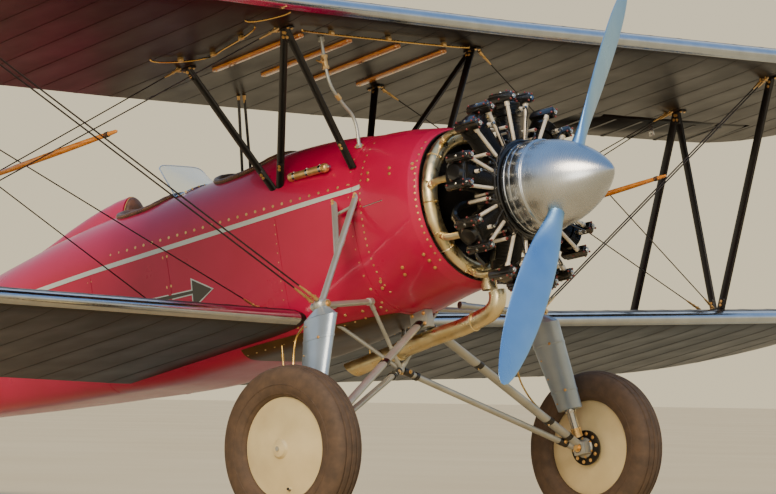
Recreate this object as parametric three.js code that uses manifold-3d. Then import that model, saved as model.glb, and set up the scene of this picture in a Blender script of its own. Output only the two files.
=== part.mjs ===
// An open two-seat biplane of about 1930 with an uncowled nine-cylinder radial engine
// and outrigger landing gear.
// Millimetres, +X forward, +Y to port, +Z up. The aircraft stands on its wheels and tail wheel.
// Most of it is drawn in the fuselage's own axes: x forward from the engine's cylinder plane, y to port,
// z up from the fuselage datum, which the ground attitude tips nose-up.
import * as THREE from "three";
import { mergeVertices } from "three/addons/utils/BufferGeometryUtils.js";
import Module from "manifold-3d";

const wasm = await Module();
wasm.setup();

// Driving dimensions
const ATTITUDE = THREE.MathUtils.degToRad(12.7);
const DATUM_HEIGHT = 1833.2;
const GAP = 0.35;
const WING = { lead: -525, trail: -2191, under: 1194, slope: 0.027, dihedral: 0.0117, straight: 920 };
const LOWER = { lead: -1356, trail: -2825, under: -403, slope: 0.0165, dihedral: 0.03, straight: 500 };
const SPAR = { front: -815, rear: -1606, lowFront: -1560, lowRear: -2350 };
const CABANE_Y = 820;
const STRUT_Y = 3850;
const WHEEL = { x: -771, y: 1325, z: -1237, radius: 457, width: 200, disc: 280 };
const AXLE = { radius: 24, end: 1300 };
const APEX = [-745, 950, -435];
const SKIN_JOINT = -2205;
const ENGINE = { z: 70, tilt: THREE.MathUtils.degToRad(3), cylinders: 9, plane: 15 };
const COOLING = { count: 2, low: 312, step: 55, root: 62, tip: 78, thick: 12 };
const SPINNER = { back: 96, base: 232, tip: 694 };
const SHAFT = { radius: 40, end: 190 };
const HINGE = { plate: 7, pin: 24, flats: 1.155 };
const PROP = { x: 330, angle: THREE.MathUtils.degToRad(-33.5) };
const ELEVATOR_HINGE = -6372;
const RUDDER_HINGE = -6440;
const TAIL_Z = 236;

// Finishes
const finish = (color, roughness, metalness) =>
  new THREE.MeshStandardMaterial({ color, roughness, metalness });
const RED = [0xa8122e, 0.2, 0.0];
const BLACK = [0x14110f, 0.25, 0.0];
const SILVER = [0xb4b6b2, 0.35, 0.8];
const POLISHED = [0xc9ccd0, 0.12, 1.0];
const IRON = [0x1d1c1b, 0.5, 0.6];
const RUBBER = [0x2d2520, 0.85, 0.0];
const CREAM = [0xd2c69c, 0.4, 0.2];
const HEATED = [0xd8c48c, 0.35, 0.9];
const LEATHER = [0x4a2d1c, 0.6, 0.0];
const VARNISH = [0xd98a2e, 0.25, 0.0];
const GLASS = [0xdfe8ea, 0.05, 0.0];

// Helpers: closed shapes, joins and cuts
const vec = (a) => new THREE.Vector3(...a);

function bare(geometry) {
  const g = geometry.index ? geometry.clone() : geometry;
  g.deleteAttribute("normal");
  g.deleteAttribute("uv");
  return mergeVertices(g, 1e-4);
}

// A manifold solid from a closed geometry, turned to face outwards.
function solid(geometry) {
  const g = bare(geometry);
  const triVerts = new Uint32Array(g.index.array);
  const vertProperties = new Float32Array(g.attributes.position.array);
  const make = () => new wasm.Manifold(new wasm.Mesh({ numProp: 3, vertProperties, triVerts }));
  let body = make();
  if (body.volume() < 0) {
    for (let i = 0; i < triVerts.length; i += 3) {
      [triVerts[i + 1], triVerts[i + 2]] = [triVerts[i + 2], triVerts[i + 1]];
    }
    body = make();
  }
  return body;
}

const join = (...parts) => parts.reduce((a, b) => a.add(b));
const cut = (first, ...parts) => parts.reduce((a, b) => a.subtract(b), first);

function geometryOf(body) {
  const m = body.getMesh();
  const g = new THREE.BufferGeometry();
  const p = new Float32Array((m.vertProperties.length / m.numProp) * 3);
  for (let i = 0; i < p.length; i++) p[i] = m.vertProperties[Math.floor(i / 3) * m.numProp + (i % 3)];
  g.setAttribute("position", new THREE.BufferAttribute(p, 3));
  g.setIndex(new THREE.BufferAttribute(new Uint32Array(m.triVerts), 1));
  return g;
}

// A closed skin through rings of points: a capped cylinder whose rings are moved to the stations.
function loft(rings) {
  const n = rings[0].length;
  const m = rings.length;
  const g = new THREE.CylinderGeometry(1, 1, 1, n, m - 1);
  const p = g.getAttribute("position");
  for (let i = 0; i < p.count; i++) {
    const ring = rings[Math.round((0.5 - p.getY(i)) * (m - 1))];
    if (Math.hypot(p.getX(i), p.getZ(i)) < 0.5) {
      const c = new THREE.Vector3();
      for (const q of ring) c.add(vec(q));
      c.divideScalar(n);
      p.setXYZ(i, c.x, c.y, c.z);
    } else {
      const k = Math.round((Math.atan2(p.getX(i), p.getZ(i)) / (2 * Math.PI)) * n + n) % n;
      p.setXYZ(i, ...ring[k]);
    }
  }
  return solid(g);
}

// Hinge fitting on the fixed side: a lug about point p with a pin through it, k the pin's axis number.
const shift = (p, k, d) => p.map((v, i) => (i === k ? v + d : v));
const lug = (p, k, root, r) => {
  const arm = box(
    p.map((v, i) => (i === 0 ? v : i === k ? v - HINGE.plate : v - r - 1)),
    p.map((v, i) => (i === 0 ? root : i === k ? v + HINGE.plate : v + r + 1)),
  );
  const eye = rod(shift(p, k, -HINGE.plate), shift(p, k, HINGE.plate), r + 3, 8);
  return join(eye, arm, rod(shift(p, k, -HINGE.pin), shift(p, k, HINGE.pin), r, 6));
};
// The notch and bore in the moving side that take that lug and pin
const lugNotch = (p, k, r, reach) => join(
  box(
    p.map((v, i) => (i === 0 ? v - r - 9.5 : i === k ? v - HINGE.plate - 6 : v - reach)),
    p.map((v, i) => (i === 0 ? v + reach : i === k ? v + HINGE.plate + 6 : v + reach)),
  ),
  rod(shift(p, k, -HINGE.pin - 4), shift(p, k, HINGE.pin + 4), r * HINGE.flats + GAP, 6),
);

// A round bar from a to b.
function rod(a, b, r, sides = 10, r2 = r) {
  const from = vec(a);
  const to = vec(b);
  const g = new THREE.CylinderGeometry(r2, r, from.distanceTo(to), sides);
  g.rotateX(Math.PI / 2);
  g.lookAt(to.clone().sub(from));
  g.translate(...from.add(to).divideScalar(2).toArray());
  return solid(g);
}

// A streamlined strut from a to b, its long axis fore and aft.
function strut(a, b, chord, thick, chord2 = chord, thick2 = thick, sides = 12) {
  const along = vec(b).sub(vec(a)).normalize();
  const fore = new THREE.Vector3(1, 0, 0).addScaledVector(along, -along.x).normalize();
  const side = new THREE.Vector3().crossVectors(along, fore);
  const ring = (p, c, t) =>
    Array.from({ length: sides }, (_, k) => {
      const w = (2 * Math.PI * k) / sides;
      const x = Math.cos(w);
      const taper = x < 0 ? 1 - 0.35 * x * x : 1;
      return vec(p)
        .addScaledVector(fore, (c / 2) * x)
        .addScaledVector(side, (t / 2) * Math.sin(w) * taper)
        .toArray();
    });
  return loft([ring(a, chord, thick), ring(b, chord2, thick2)]);
}

function box(from, to) {
  const a = vec(from);
  const b = vec(to);
  const g = new THREE.BoxGeometry(Math.abs(b.x - a.x), Math.abs(b.y - a.y), Math.abs(b.z - a.z));
  g.translate(...a.add(b).divideScalar(2).toArray());
  return solid(g);
}

function ball(p, r, w = 8, h = 6) {
  const g = new THREE.SphereGeometry(r, w, h);
  g.translate(...p);
  return solid(g);
}

// A tube of radius r along a smooth curve through points.
function pipe(points, r, steps, sides = 12) {
  const path = new THREE.CatmullRomCurve3(points.map(vec), false, "centripetal");
  const round = new THREE.Shape();
  for (let k = 0; k < sides; k++) {
    const w = (2 * Math.PI * k) / sides;
    if (k) round.lineTo(r * Math.cos(w), r * Math.sin(w));
    else round.moveTo(r, 0);
  }
  round.closePath();
  return solid(new THREE.ExtrudeGeometry(round, { steps, bevelEnabled: false, extrudePath: path }));
}

// A body of revolution about the line y = z = 0: rows of [x, radius], first and last on the axis.
function turnX(rows, sides) {
  const g = new THREE.LatheGeometry(rows.map(([x, r]) => new THREE.Vector2(r, x)), sides);
  g.rotateZ(-Math.PI / 2);
  return solid(g);
}

// A body of revolution about a wheel's axle: rows of [y, radius].
function turnY(rows, sides) {
  return solid(new THREE.LatheGeometry(rows.map(([y, r]) => new THREE.Vector2(r, y)), sides));
}

const placed = (body, matrix) => body.transform(matrix.elements);
const moved = (body, x, y, z) => body.translate([x, y, z]);

// Groups
const aircraft = new THREE.Group();
const tipped = new THREE.Group();
tipped.rotation.y = -ATTITUDE;
tipped.position.z = DATUM_HEIGHT;
const level = new THREE.Group();
aircraft.add(tipped, level);

function piece(name, body, look, group = tipped) {
  const mesh = new THREE.Mesh(geometryOf(body), finish(...look));
  mesh.name = name;
  group.add(mesh);
  return mesh;
}

// Fuselage sections: x, half width, belly, widest height, deck, squareness of the lower half
const FUSELAGE = [
  [-850, 445, -430, 90, 622, 2.7],
  [-1000, 442, -446, 140, 652, 3.2],
  [-1200, 437, -462, 205, 678, 4.2],
  [-1450, 432, -474, 262, 694, 6],
  [-1750, 430, -482, 285, 702, 8],
  [-2150, 430, -486, 287, 705, 8],
  [-2550, 430, -484, 288, 702, 8],
  [-2900, 426, -458, 287, 694, 8],
  [-3300, 402, -418, 286, 660, 7],
  [-3800, 356, -366, 283, 596, 6],
  [-4400, 288, -296, 274, 512, 5],
  [-5100, 200, -212, 258, 412, 4],
  [-5800, 112, -136, 240, 330, 3.4],
  [-6340, 36, -72, 222, 286, 3],
];

function hullRing([x, half, low, mid, top, square], grow, n = 28) {
  return Array.from({ length: n }, (_, k) => {
    const w = (2 * Math.PI * (k + 0.5)) / n;
    const c = Math.cos(w);
    const s = Math.sin(w);
    const e = s >= 0 ? 1 / 1.05 : 2 / square;
    const y = Math.sign(c) * (half + grow) * Math.abs(c) ** e;
    const z = s >= 0 ? mid + (top - mid + grow) * s ** e : mid - (mid - low + grow) * Math.abs(s) ** e;
    return [x, y, z];
  });
}

function fuselageShape(grow, rows = FUSELAGE) {
  const list = rows.map((r) => [...r]);
  list[0][0] += grow;
  list[list.length - 1][0] -= grow;
  return loft(list.map((r) => hullRing(r, grow)));
}

// Cockpit wells: front edge, rear edge, half width, floor
const WELLS = [
  [-1590, -2110, 272, -200],
  [-2490, -2955, 262, -180],
];

function wellShape([front, rear, half, floor], inset, top) {
  const s = new THREE.Shape();
  const n = 18;
  for (let k = 0; k < n; k++) {
    const w = (2 * Math.PI * k) / n;
    const c = Math.cos(w);
    const v = Math.sin(w);
    const x = (front + rear) / 2 + ((front - rear) / 2 - inset) * Math.sign(c) * Math.abs(c) ** 0.62;
    const y = (half - inset) * Math.sign(v) * Math.abs(v) ** 0.62;
    if (k) s.lineTo(x, y);
    else s.moveTo(x, y);
  }
  s.closePath();
  const g = new THREE.ExtrudeGeometry(s, { depth: top - floor, bevelEnabled: false });
  g.translate(0, 0, floor);
  return solid(g);
}

// Headrest fairing behind the rear cockpit: x, half width, top
const HEADREST = [
  [-2985, 128, 782],
  [-3150, 120, 770],
  [-3450, 92, 718],
  [-3800, 50, 634],
  [-3990, 14, 575],
];
const headRing = ([x, half, top], grow = 0) =>
  Array.from({ length: 16 }, (_, k) => {
    const w = (2 * Math.PI * k) / 16;
    return [x, (half + grow) * Math.cos(w), 480 + (top - 480 + grow) * Math.max(Math.sin(w), -0.15)];
  });

const fairing = loft(HEADREST.map((r) => headRing(r)));
let fuselage = join(fuselageShape(0), fairing);
fuselage = cut(fuselage, ...WELLS.map((w) => wellShape(w, 0, 900)));
piece("front_fuselage", cut(fuselage, box([-7000, -700, -900], [SKIN_JOINT, 700, 1200])), RED);
piece("rear_fuselage", cut(fuselage, box([0, -700, -900], [SKIN_JOINT - GAP, 700, 1200])), RED);

// Nose cowl ahead of the fuselage, open at the front
const COWL = [
  [-849.6, 445, -430, 90, 622, 2.7],
  [-740, 463, -420, 86, 612, 2.4],
  [-600, 475, -404, 82, 592, 2.2],
  [-480, 477, -394, 80, 566, 2.1],
  [-410, 470, -388, 80, 552, 2.05],
  [-385, 460, -380, 80, 542, 2.05],
];
const cowlOuter = loft(COWL.map((r) => hullRing(r, 0)));
const recess = moved(turnX([[-505, 0], [-505, 428], [-410, 438], [-300, 452], [-300, 0]], 32), 0, 0, 80);
piece("nose_cowl", cut(cowlOuter, recess), RED);

// Engine, drawn about its own shaft line and then tipped and lifted into place
const engineFrame = new THREE.Matrix4().makeRotationY(ENGINE.tilt).setPosition(0, 0, ENGINE.z);
const crankcase = turnX(
  [
    [-560, 0], [-560, 206], [-480, 214], [-260, 226], [-130, 250], [-72, 292], [78, 292],
    [88, 270], [88, SHAFT.radius], [SHAFT.end, SHAFT.radius], [SHAFT.end, 0],
  ],
  18,
);

// One cylinder standing on +Z: barrel and head with cooling fins, rocker boxes and two pushrod tubes.
function cylinderUnit() {
  const rows = [[270, 0], [270, COOLING.root]];
  for (let i = 0; i < COOLING.count; i++) {
    const z = COOLING.low + i * COOLING.step;
    rows.push([z, COOLING.root], [z, COOLING.tip]);
    rows.push([z + COOLING.thick, COOLING.tip], [z + COOLING.thick, COOLING.root]);
  }
  rows.push([444, COOLING.root], [444, 84], [520, 84], [534, 44], [534, 0]);
  const barrel = new THREE.LatheGeometry(rows.map(([z, r]) => new THREE.Vector2(r, z)), 10);
  barrel.rotateX(Math.PI / 2);
  const body = moved(solid(barrel), ENGINE.plane, 0, 0);
  const rocker = (y) => box([ENGINE.plane - 74, y - 24, 502], [122, y + 24, 562]);
  const pushrod = (s) => rod([46, s * 46, 252], [62, s * 84, 516], 10, 5);
  const port = box([-73, -24, 452], [-40, 24, 488]);
  return join(body, rocker(80), rocker(-80), pushrod(1), pushrod(-1), port);
}
// Copies of a body at every cylinder's angle
const aroundEngine = (body) =>
  Array.from({ length: ENGINE.cylinders }, (_, i) =>
    placed(body, new THREE.Matrix4().makeRotationX((2 * Math.PI * i) / ENGINE.cylinders)));
const engine = join(crankcase, ...aroundEngine(cylinderUnit()));
const bulkheadFace = box([-900, -400, -400], [-505 + GAP, 400, 600]);
piece("engine", cut(placed(engine, engineFrame), bulkheadFace), IRON);

// Exhaust collector ring behind the cylinders, with a stub to each head
const RING = { x: -318, radius: 388, tube: 47 };
const hoop = new THREE.TorusGeometry(RING.radius, RING.tube, 8, 32);
hoop.rotateY(Math.PI / 2);
const stubLine = [[RING.x, 0, RING.radius + 4], [-262, 0, 430], [-195, 0, 464], [-73.4, 0, 470]];
const stub = pipe(stubLine, 20, 3, 6);
let collector = join(moved(solid(hoop), RING.x, 0, 0), ...aroundEngine(stub));
collector = cut(collector, box([-73 - GAP, -700, -700], [300, 700, 700]));
const outlet = rod([RING.x, 30, -RING.radius - 6], [RING.x + 12, 36, -RING.radius - 130], 46, 14);
collector = join(collector, outlet);
const JOINT_Z = -430;
const belowJoint = box([-500, -100, JOINT_Z - 200], [-100, 200, JOINT_Z + GAP]);
piece("exhaust_collector", cut(placed(collector, engineFrame), belowJoint), HEATED);

// Tailpipe under the belly, cut off on the slant
const tailpipe = pipe(
  [
    [-288, 36, -412], [-284, 36, -455], [-320, 34, -520], [-450, 26, -562],
    [-800, 8, -592], [-1120, 0, -620], [-1480, -12, -650],
  ],
  50, 18, 12,
);
const slash = new THREE.BoxGeometry(400, 400, 400);
slash.rotateY(-0.7);
slash.translate(-1580, -30, -800);
piece("tailpipe", cut(tailpipe, solid(slash), box([-400, -60, JOINT_Z], [-180, 130, -300])), HEATED);

// Spinner and two-blade propeller
const SPIN = [
  [SPINNER.back, 0], [SPINNER.back, 264], [SPINNER.back + 30, 264], [SPINNER.back + 36, 256],
  [SPINNER.base - 34, 256], [SPINNER.base - 28, 262], [SPINNER.base, 262], [SPINNER.base + 4, 253],
  [320, 242], [410, 216], [500, 175], [580, 124], [640, 73], [678, 31], [690, 12], [SPINNER.tip, 0],
];
const shaftBore = rod([SPINNER.back - 20, 0, 0], [SHAFT.end + 6, 0, 0], SHAFT.radius + 0.8, 18);
const spinner = cut(turnX(SPIN, 20), shaftBore);
const spinnerGrown = turnX(
  SPIN.map(([x, r], i) => [i < 2 ? x - GAP : i === SPIN.length - 1 ? x + GAP : x, r ? r + GAP : 0]), 20,
);
const propTurn = (a) =>
  new THREE.Matrix4().multiplyMatrices(engineFrame, new THREE.Matrix4().makeRotationX(PROP.angle + a));
piece("spinner", placed(spinner, propTurn(0)), POLISHED);

// Blade stations: radius, chord, thickness, angle to the disc in degrees
const BLADE = [
  [150, 84, 84, 62],
  [262, 88, 80, 58],
  [330, 112, 62, 53],
  [430, 150, 44, 47],
  [560, 190, 32, 41],
  [700, 222, 25, 36],
  [850, 238, 19, 31],
  [1000, 232, 15, 27],
  [1130, 208, 12, 24],
  [1240, 168, 9, 22],
  [1320, 120, 7, 20],
  [1365, 74, 5, 19],
  [1384, 26, 4, 19],
];
function bladeShape() {
  const n = 16;
  return loft(
    BLADE.map(([r, chord, thick, angle]) => {
      const b = THREE.MathUtils.degToRad(angle);
      return Array.from({ length: n }, (_, k) => {
        const w = (2 * Math.PI * k) / n;
        const u = (chord / 2) * Math.cos(w);
        const v = (thick / 2) * Math.sin(w);
        return [PROP.x + u * Math.sin(b) + v * Math.cos(b), v * Math.sin(b) - u * Math.cos(b), r];
      });
    }),
  );
}
const blade = cut(bladeShape(), spinnerGrown);
for (const [name, half] of [["blade_upper", 0], ["blade_lower", Math.PI]]) {
  piece(name, placed(blade, propTurn(half)), POLISHED);
}

// Wings. Flat-bottomed section: distance from the leading edge, upper and lower height,
// as shares of the chord
const SECTION = [
  [0, 0.034, 0.034], [0.012, 0.056, 0.018], [0.04, 0.074, 0.009], [0.1, 0.095, 0.003],
  [0.2, 0.112, 0], [0.32, 0.116, 0], [0.46, 0.108, 0], [0.62, 0.087, 0], [0.78, 0.056, 0],
  [0.9, 0.028, 0], [1, 0.005, 0],
];
function sectionRing(wing, y, lead, trail, drop, grow) {
  const chord = lead - trail;
  const rise = Math.max(0, Math.abs(y) - wing.straight) * wing.dihedral;
  const at = (f, h, side) => {
    const x = lead - f * chord + (f === 0 ? grow : f === 1 ? -grow : 0);
    const z = wing.under + rise + drop + (x - wing.lead) * wing.slope + h * chord + side * grow;
    return [x, y, z];
  };
  const upper = SECTION.map(([f, u]) => at(f, u, f === 0 ? 0 : 1));
  const lower = SECTION.slice(1).reverse().map(([f, , l]) => at(f, l, -1));
  return [...upper, ...lower];
}

// Wing stations: y, leading edge, trailing edge, lift of the under side towards the tip
const UPPER_PLAN = [
  [0, -525, -2191, 0], [920, -525, -2191, 0], [4500, -525, -2191, 0], [4880, -528, -2180, 3],
  [5130, -540, -2132, 8], [5340, -566, -2046, 16], [5520, -618, -1930, 27], [5660, -706, -1782, 40],
  [5750, -826, -1616, 54], [5788, -980, -1440, 68],
];
const LOWER_PLAN = [
  [300, -1356, -2825, 0], [500, -1356, -2825, 0], [4200, -1356, -2825, 0], [4500, -1358, -2772, 3],
  [4740, -1366, -2680, 8], [4950, -1386, -2556, 16], [5130, -1426, -2412, 26], [5280, -1492, -2254, 38],
  [5390, -1592, -2090, 52], [5440, -1710, -1930, 64],
];
function upperShape(grow) {
  const left = UPPER_PLAN.map(([y, a, b, d]) => sectionRing(WING, y, a, b, d, grow));
  const right = UPPER_PLAN.slice(1).reverse().map(([y, a, b, d]) => sectionRing(WING, -y, a, b, d, grow));
  return loft([...right, ...left]);
}
const lowerShape = (grow, s) =>
  loft(LOWER_PLAN.map(([y, a, b, d]) => sectionRing(LOWER, s * y, a, b, d, grow)));

// Ailerons in the upper wing: hinge line and span
const AILERON = { hinge: -1812, inner: 3020, outer: 4860, nose: 50, lift: 56, gap: 8 };
const upperUnder = (x, y) => {
  const rise = Math.max(0, Math.abs(y) - WING.straight) * WING.dihedral;
  return WING.under + rise + (x - WING.lead) * WING.slope;
};

function aileronShape(s) {
  const ring = (y) => {
    const z = upperUnder(AILERON.hinge, y);
    const tail = UPPER_PLAN[2][2] + (Math.abs(y) > 4500 ? ((Math.abs(y) - 4500) / 380) * 11 : 0);
    const pts = [];
    for (let k = 0; k <= 8; k++) {
      const w = Math.PI / 2 - (Math.PI * k) / 8;
      const up = AILERON.lift + AILERON.nose * Math.sin(w);
      pts.push([AILERON.hinge + AILERON.nose * Math.cos(w), s * y, z + up]);
    }
    const end = upperUnder(tail, y);
    pts.push([(AILERON.hinge + tail) / 2, s * y, upperUnder((AILERON.hinge + tail) / 2, y) + 2]);
    pts.push([tail, s * y, end + 1], [tail, s * y, end + 8]);
    pts.push([(AILERON.hinge + tail) / 2, s * y, upperUnder((AILERON.hinge + tail) / 2, y) + 60]);
    return pts;
  };
  return loft([ring(AILERON.inner), ring(4500), ring(AILERON.outer)]);
}
let upper = upperShape(0);
for (const s of [-1, 1]) {
  const y0 = s * (AILERON.inner - AILERON.gap);
  const y1 = s * (AILERON.outer + AILERON.gap);
  upper = cut(upper, box([AILERON.hinge + AILERON.nose + AILERON.gap, y0, 1000], [-2400, y1, 1500]));
}
const aileronPins = (s) =>
  [3300, 4560].map((y) => [AILERON.hinge, s * y, upperUnder(AILERON.hinge, y) + AILERON.lift]);
for (const s of [-1, 1]) {
  upper = join(upper, ...aileronPins(s).map((p) => lug(p, 1, AILERON.hinge + 70, 5)));
}
// Varnished battens under the centre section: y, front and rear end
const BATTENS = [[-625, -862, -1582], [-212, -862, -1582], [212, -862, -1582], [625, -862, -1582]];
for (const [y, a, b] of BATTENS) {
  const ring = (x) => {
    const z = upperUnder(x, y);
    return [[x, y - 27, z + 4], [x, y + 27, z + 4], [x, y + 27, z - 14], [x, y - 27, z - 14]];
  };
  upper = join(upper, loft([ring(a), ring(b)]));
}
piece("upper_wing", upper, BLACK);
for (const [name, s] of [["aileron_left", 1], ["aileron_right", -1]]) {
  piece(name, cut(aileronShape(s), ...aileronPins(s).map((p) => lugNotch(p, 1, 5, 62))), BLACK);
}

const fuselageGrown = join(fuselageShape(GAP), loft(HEADREST.map((r) => headRing(r, GAP))));
const upperGrown = join(
  upperShape(GAP),
  ...BATTENS.map(([y, a, b]) => {
    const low = upperUnder(b, y) - 16;
    return box([a + 2, y - 30, low], [b - 2, y + 30, upperUnder(a, y) + 10]);
  }),
);
const lowerGrown = { 1: lowerShape(GAP, 1), "-1": lowerShape(GAP, -1) };
const SIDES = [["left", 1], ["right", -1]];
const at = (s, p) => [p[0], s * p[1], p[2]];
for (const [side, s] of SIDES) piece(`lower_wing_${side}`, cut(lowerShape(0, s), fuselageGrown), BLACK);

// Cabane and interplane struts, N-shaped on each side
const lowerTop = (x, y) => {
  const rise = Math.max(0, y - LOWER.straight) * LOWER.dihedral;
  return LOWER.under + rise + (x - LOWER.lead) * LOWER.slope;
};
for (const [side, s] of SIDES) {
  const top = (x, y) => at(s, [x, y, upperUnder(x, y) + 20]);
  const frontTop = top(SPAR.front, CABANE_Y);
  const rearTop = top(SPAR.rear, CABANE_Y);
  const footFront = at(s, [-858, 372, 410]);
  const footRear = at(s, [-1452, 376, 392]);
  const n = join(
    strut(frontTop, footFront, 54, 24),
    strut(rearTop, footRear, 54, 24),
    strut(frontTop, at(s, [-1432, 380, 404]), 50, 22),
  );
  piece(`cabane_${side}`, cut(n, upperGrown, fuselageGrown), BLACK);
  const highFront = top(SPAR.front, STRUT_Y);
  const highRear = top(SPAR.rear, STRUT_Y);
  const lowFront = at(s, [SPAR.lowFront, STRUT_Y, lowerTop(SPAR.lowFront, STRUT_Y) + 70]);
  const lowRear = at(s, [SPAR.lowRear, STRUT_Y, lowerTop(SPAR.lowRear, STRUT_Y) + 70]);
  const m = join(
    strut(highFront, lowFront, 62, 26),
    strut(highRear, lowRear, 62, 26),
    strut(highRear, at(s, [SPAR.lowFront - 18, STRUT_Y, lowFront[2]]), 56, 24),
  );
  piece(`interplane_${side}`, cut(m, upperGrown, lowerGrown[s]), BLACK);
}

const cowlGrown = loft(COWL.map((r, i) => hullRing(i ? r : [r[0] - GAP, ...r.slice(1)], GAP)));
// Knuckle at the foot of each leg, with the brake back plate that faces the wheel
const knuckleBody = (s, g) => {
  const rows = [
    [1150 - g, 0], [1150 - g, 40 + g], [1222 - g, 46 + g], [1222 - g, 104 + g], [1239 + g, 104 + g],
    [1239 + g, AXLE.radius + g], [AXLE.end + g, AXLE.radius + g], [AXLE.end + g, 0],
  ];
  const k = moved(turnY(rows.map(([y, r]) => [s * y, r]), 16), WHEEL.x, 0, WHEEL.z);
  return k;
};

const legStrut = (s, g) =>
  strut(at(s, [-832, 8, -484]), at(s, [-778, 1170, -1216]), 66 + 2 * g, 40 + 2 * g);

// Landing gear on each side: outrigger truss, shock strut in its fairing, front leg and rear leg
for (const [side, s] of SIDES) {
  const apex = at(s, APEX);
  const bend = at(s, [-778, 713, -135]);
  let truss = join(
    ball(apex, 42),
    strut(apex, at(s, [-822, 400, 262]), 46, 30),
    strut(bend, at(s, [-1006, 400, 262]), 40, 26),
    rod(at(s, [-812, 470, 172]), at(s, [-948, 470, 152]), 9, 6),
    rod(apex, at(s, [-860, 380, -372]), 17, 8),
    rod(apex, at(s, [-1140, 380, -330]), 15, 8),
    strut(apex, at(s, [-741, 982, -540]), 120, 60),
  );
  truss = cut(truss, fuselageGrown, cowlGrown, box([-900, s * 880, -700], [-600, s * 1100, -500]));
  piece(`outrigger_${side}`, truss, SILVER);
  const shockTop = at(s, [-741, 956, -460]);
  const shockMid = at(s, [-763, 1130, -1010]);
  const axleTop = at(s, [-770, 1184, -1232]);
  const fairingBody = strut(shockTop, shockMid, 250, 96, 176, 80, 20);
  const shock = join(fairingBody, rod(shockMid, axleTop, 29, 14));
  const above = box([-1000, s * 800, -500 - GAP], [-500, s * 1200, -300]);
  piece(`shock_strut_${side}`, cut(shock, knuckleBody(s, GAP), legStrut(s, GAP), above), SILVER);
}

const bracket = (g) => box([-902 - g, -30 - g, -528 - g], [-772 + g, 30 + g, -380]);
piece("belly_bracket", cut(bracket(0), fuselageGrown, cowlGrown), SILVER);

const PYRAMID = [-1050, 0, -720];
const pyramidBall = (g) => ball(PYRAMID, 24 + g);
const pyramidShape = (g) =>
  [[-930, -340], [-1240, -390]].reduce(
    (a, [x, z]) => join(a, rod(PYRAMID, [x, -320, z], 12 + g, 8), rod(PYRAMID, [x, 320, z], 12 + g, 8)),
    pyramidBall(g),
  );
piece("belly_pyramid", cut(pyramidShape(0), fuselageGrown), SILVER);

for (const [side, s] of SIDES) {
  const front = join(legStrut(s, 0), knuckleBody(s, 0));
  const past = box([-1000, -s * 400, -700], [-600, s * 30.7, -400]);
  piece(`front_leg_${side}`, cut(front, bracket(GAP), past), SILVER);
  const rear = strut(at(s, [PYRAMID[0], 6, PYRAMID[2]]), at(s, [-800, 1176, -1236]), 44, 34);
  const middle = box([-1200, -s * 200, -900], [-900, s * 16, -600]);
  const seats = [pyramidShape(GAP), knuckleBody(s, GAP), legStrut(s, GAP)];
  piece(`rear_leg_${side}`, cut(rear, ...seats, middle), SILVER);
}

// Main wheels: a round-shouldered tyre on a domed disc
const TYRE = [
  [-60, 281], [-88, 304], [-100, 362], [-90, 416], [-58, 447], [0, 457],
  [58, 447], [90, 416], [100, 362], [88, 304], [60, 281], [-60, 281],
];
const DISC = [
  [-78, 0], [-78, 52], [-68, 62], [-50, 280.6], [50, 280.6], [63, 264],
  [82, 170], [96, 54], [110, 46], [118, 30], [118, 0],
];
const rolled = (rows, s) =>
  placed(turnY(rows.map(([y, r]) => [s * y, r]), 32), new THREE.Matrix4().makeRotationY(ATTITUDE));
for (const [side, s] of SIDES) {
  const hub = [WHEEL.x, s * WHEEL.y, WHEEL.z];
  piece(`tyre_${side}`, moved(rolled(TYRE, s), ...hub), RUBBER);
  const axleBore = rod([0, -90 * s, 0], [0, (AXLE.end + 6 - WHEEL.y) * s, 0], AXLE.radius + 0.9, 16);
  piece(`wheel_disc_${side}`, moved(cut(rolled(DISC, s), axleBore), ...hub), CREAM);
}

// Flying and landing wires, and the spreader stick that lies on them: rows of [x, radius]
const STICK = { y: 2380, rear: -1760, out: 9.05, above: 18.1 };
const STICK_ROWS = [[0, 0], [6, 9], [60, 12], [525, 17], [990, 12], [1044, 9], [1050, 0]];
const wireTop = (x, y, s) => at(s, [x, y, upperUnder(x, y) + 12]);
const wireFoot = (x, y, s) => at(s, [x, y, lowerTop(x, y) + 60]);
for (const [side, s] of SIDES) {
  const apex = at(s, APEX);
  const fitting = ball(apex, 42 + GAP);
  const shock = strut(apex, at(s, [-741, 982, -540]), 120 + 2 * GAP, 60 + 2 * GAP);
  const low = lowerGrown[s];
  piece(`flying_wire_front_${side}`,
    cut(rod(wireTop(-808, 3770, s), apex, 5, 6), upperGrown, fitting, shock), SILVER);
  piece(`flying_wire_rear_${side}`,
    cut(rod(wireTop(-1596, 3770, s), at(s, [-1674, 410, -238]), 4, 6), upperGrown, fuselageGrown), SILVER);
  piece(`landing_wire_front_${side}`,
    cut(rod(wireTop(-815, 880, s), wireFoot(-1530, 3780, s), 4, 6), upperGrown, low), SILVER);
  piece(`landing_wire_rear_${side}`,
    cut(rod(wireTop(-1606, 880, s), wireFoot(-1640, 3780, s), 4, 6), upperGrown, low), SILVER);
  // Spreader stick laid on the landing wires where the flying wires cross them
  const inner = wireTop(SPAR.front, 880, 1);
  const outer = wireFoot(-1530, 3780, 1);
  const share = (STICK.y - inner[1]) / (outer[1] - inner[1]);
  const z = inner[2] + share * (outer[2] - inner[2]) + STICK.above;
  const stick = moved(turnX(STICK_ROWS, 10), STICK.rear, s * (STICK.y + STICK.out), z);
  piece(`spreader_stick_${side}`, stick, VARNISH);
}

// Fuel pipe from the centre section down to the deck
const fuel = pipe(
  [
    [-892, -436, 1200], [-892, -434, 1060], [-894, -410, 900],
    [-894, -330, 800], [-890, -262, 720], [-888, -236, 580],
  ],
  10, 12, 6,
);
piece("fuel_pipe", cut(fuel, upperGrown, fuselageGrown), SILVER);

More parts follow.
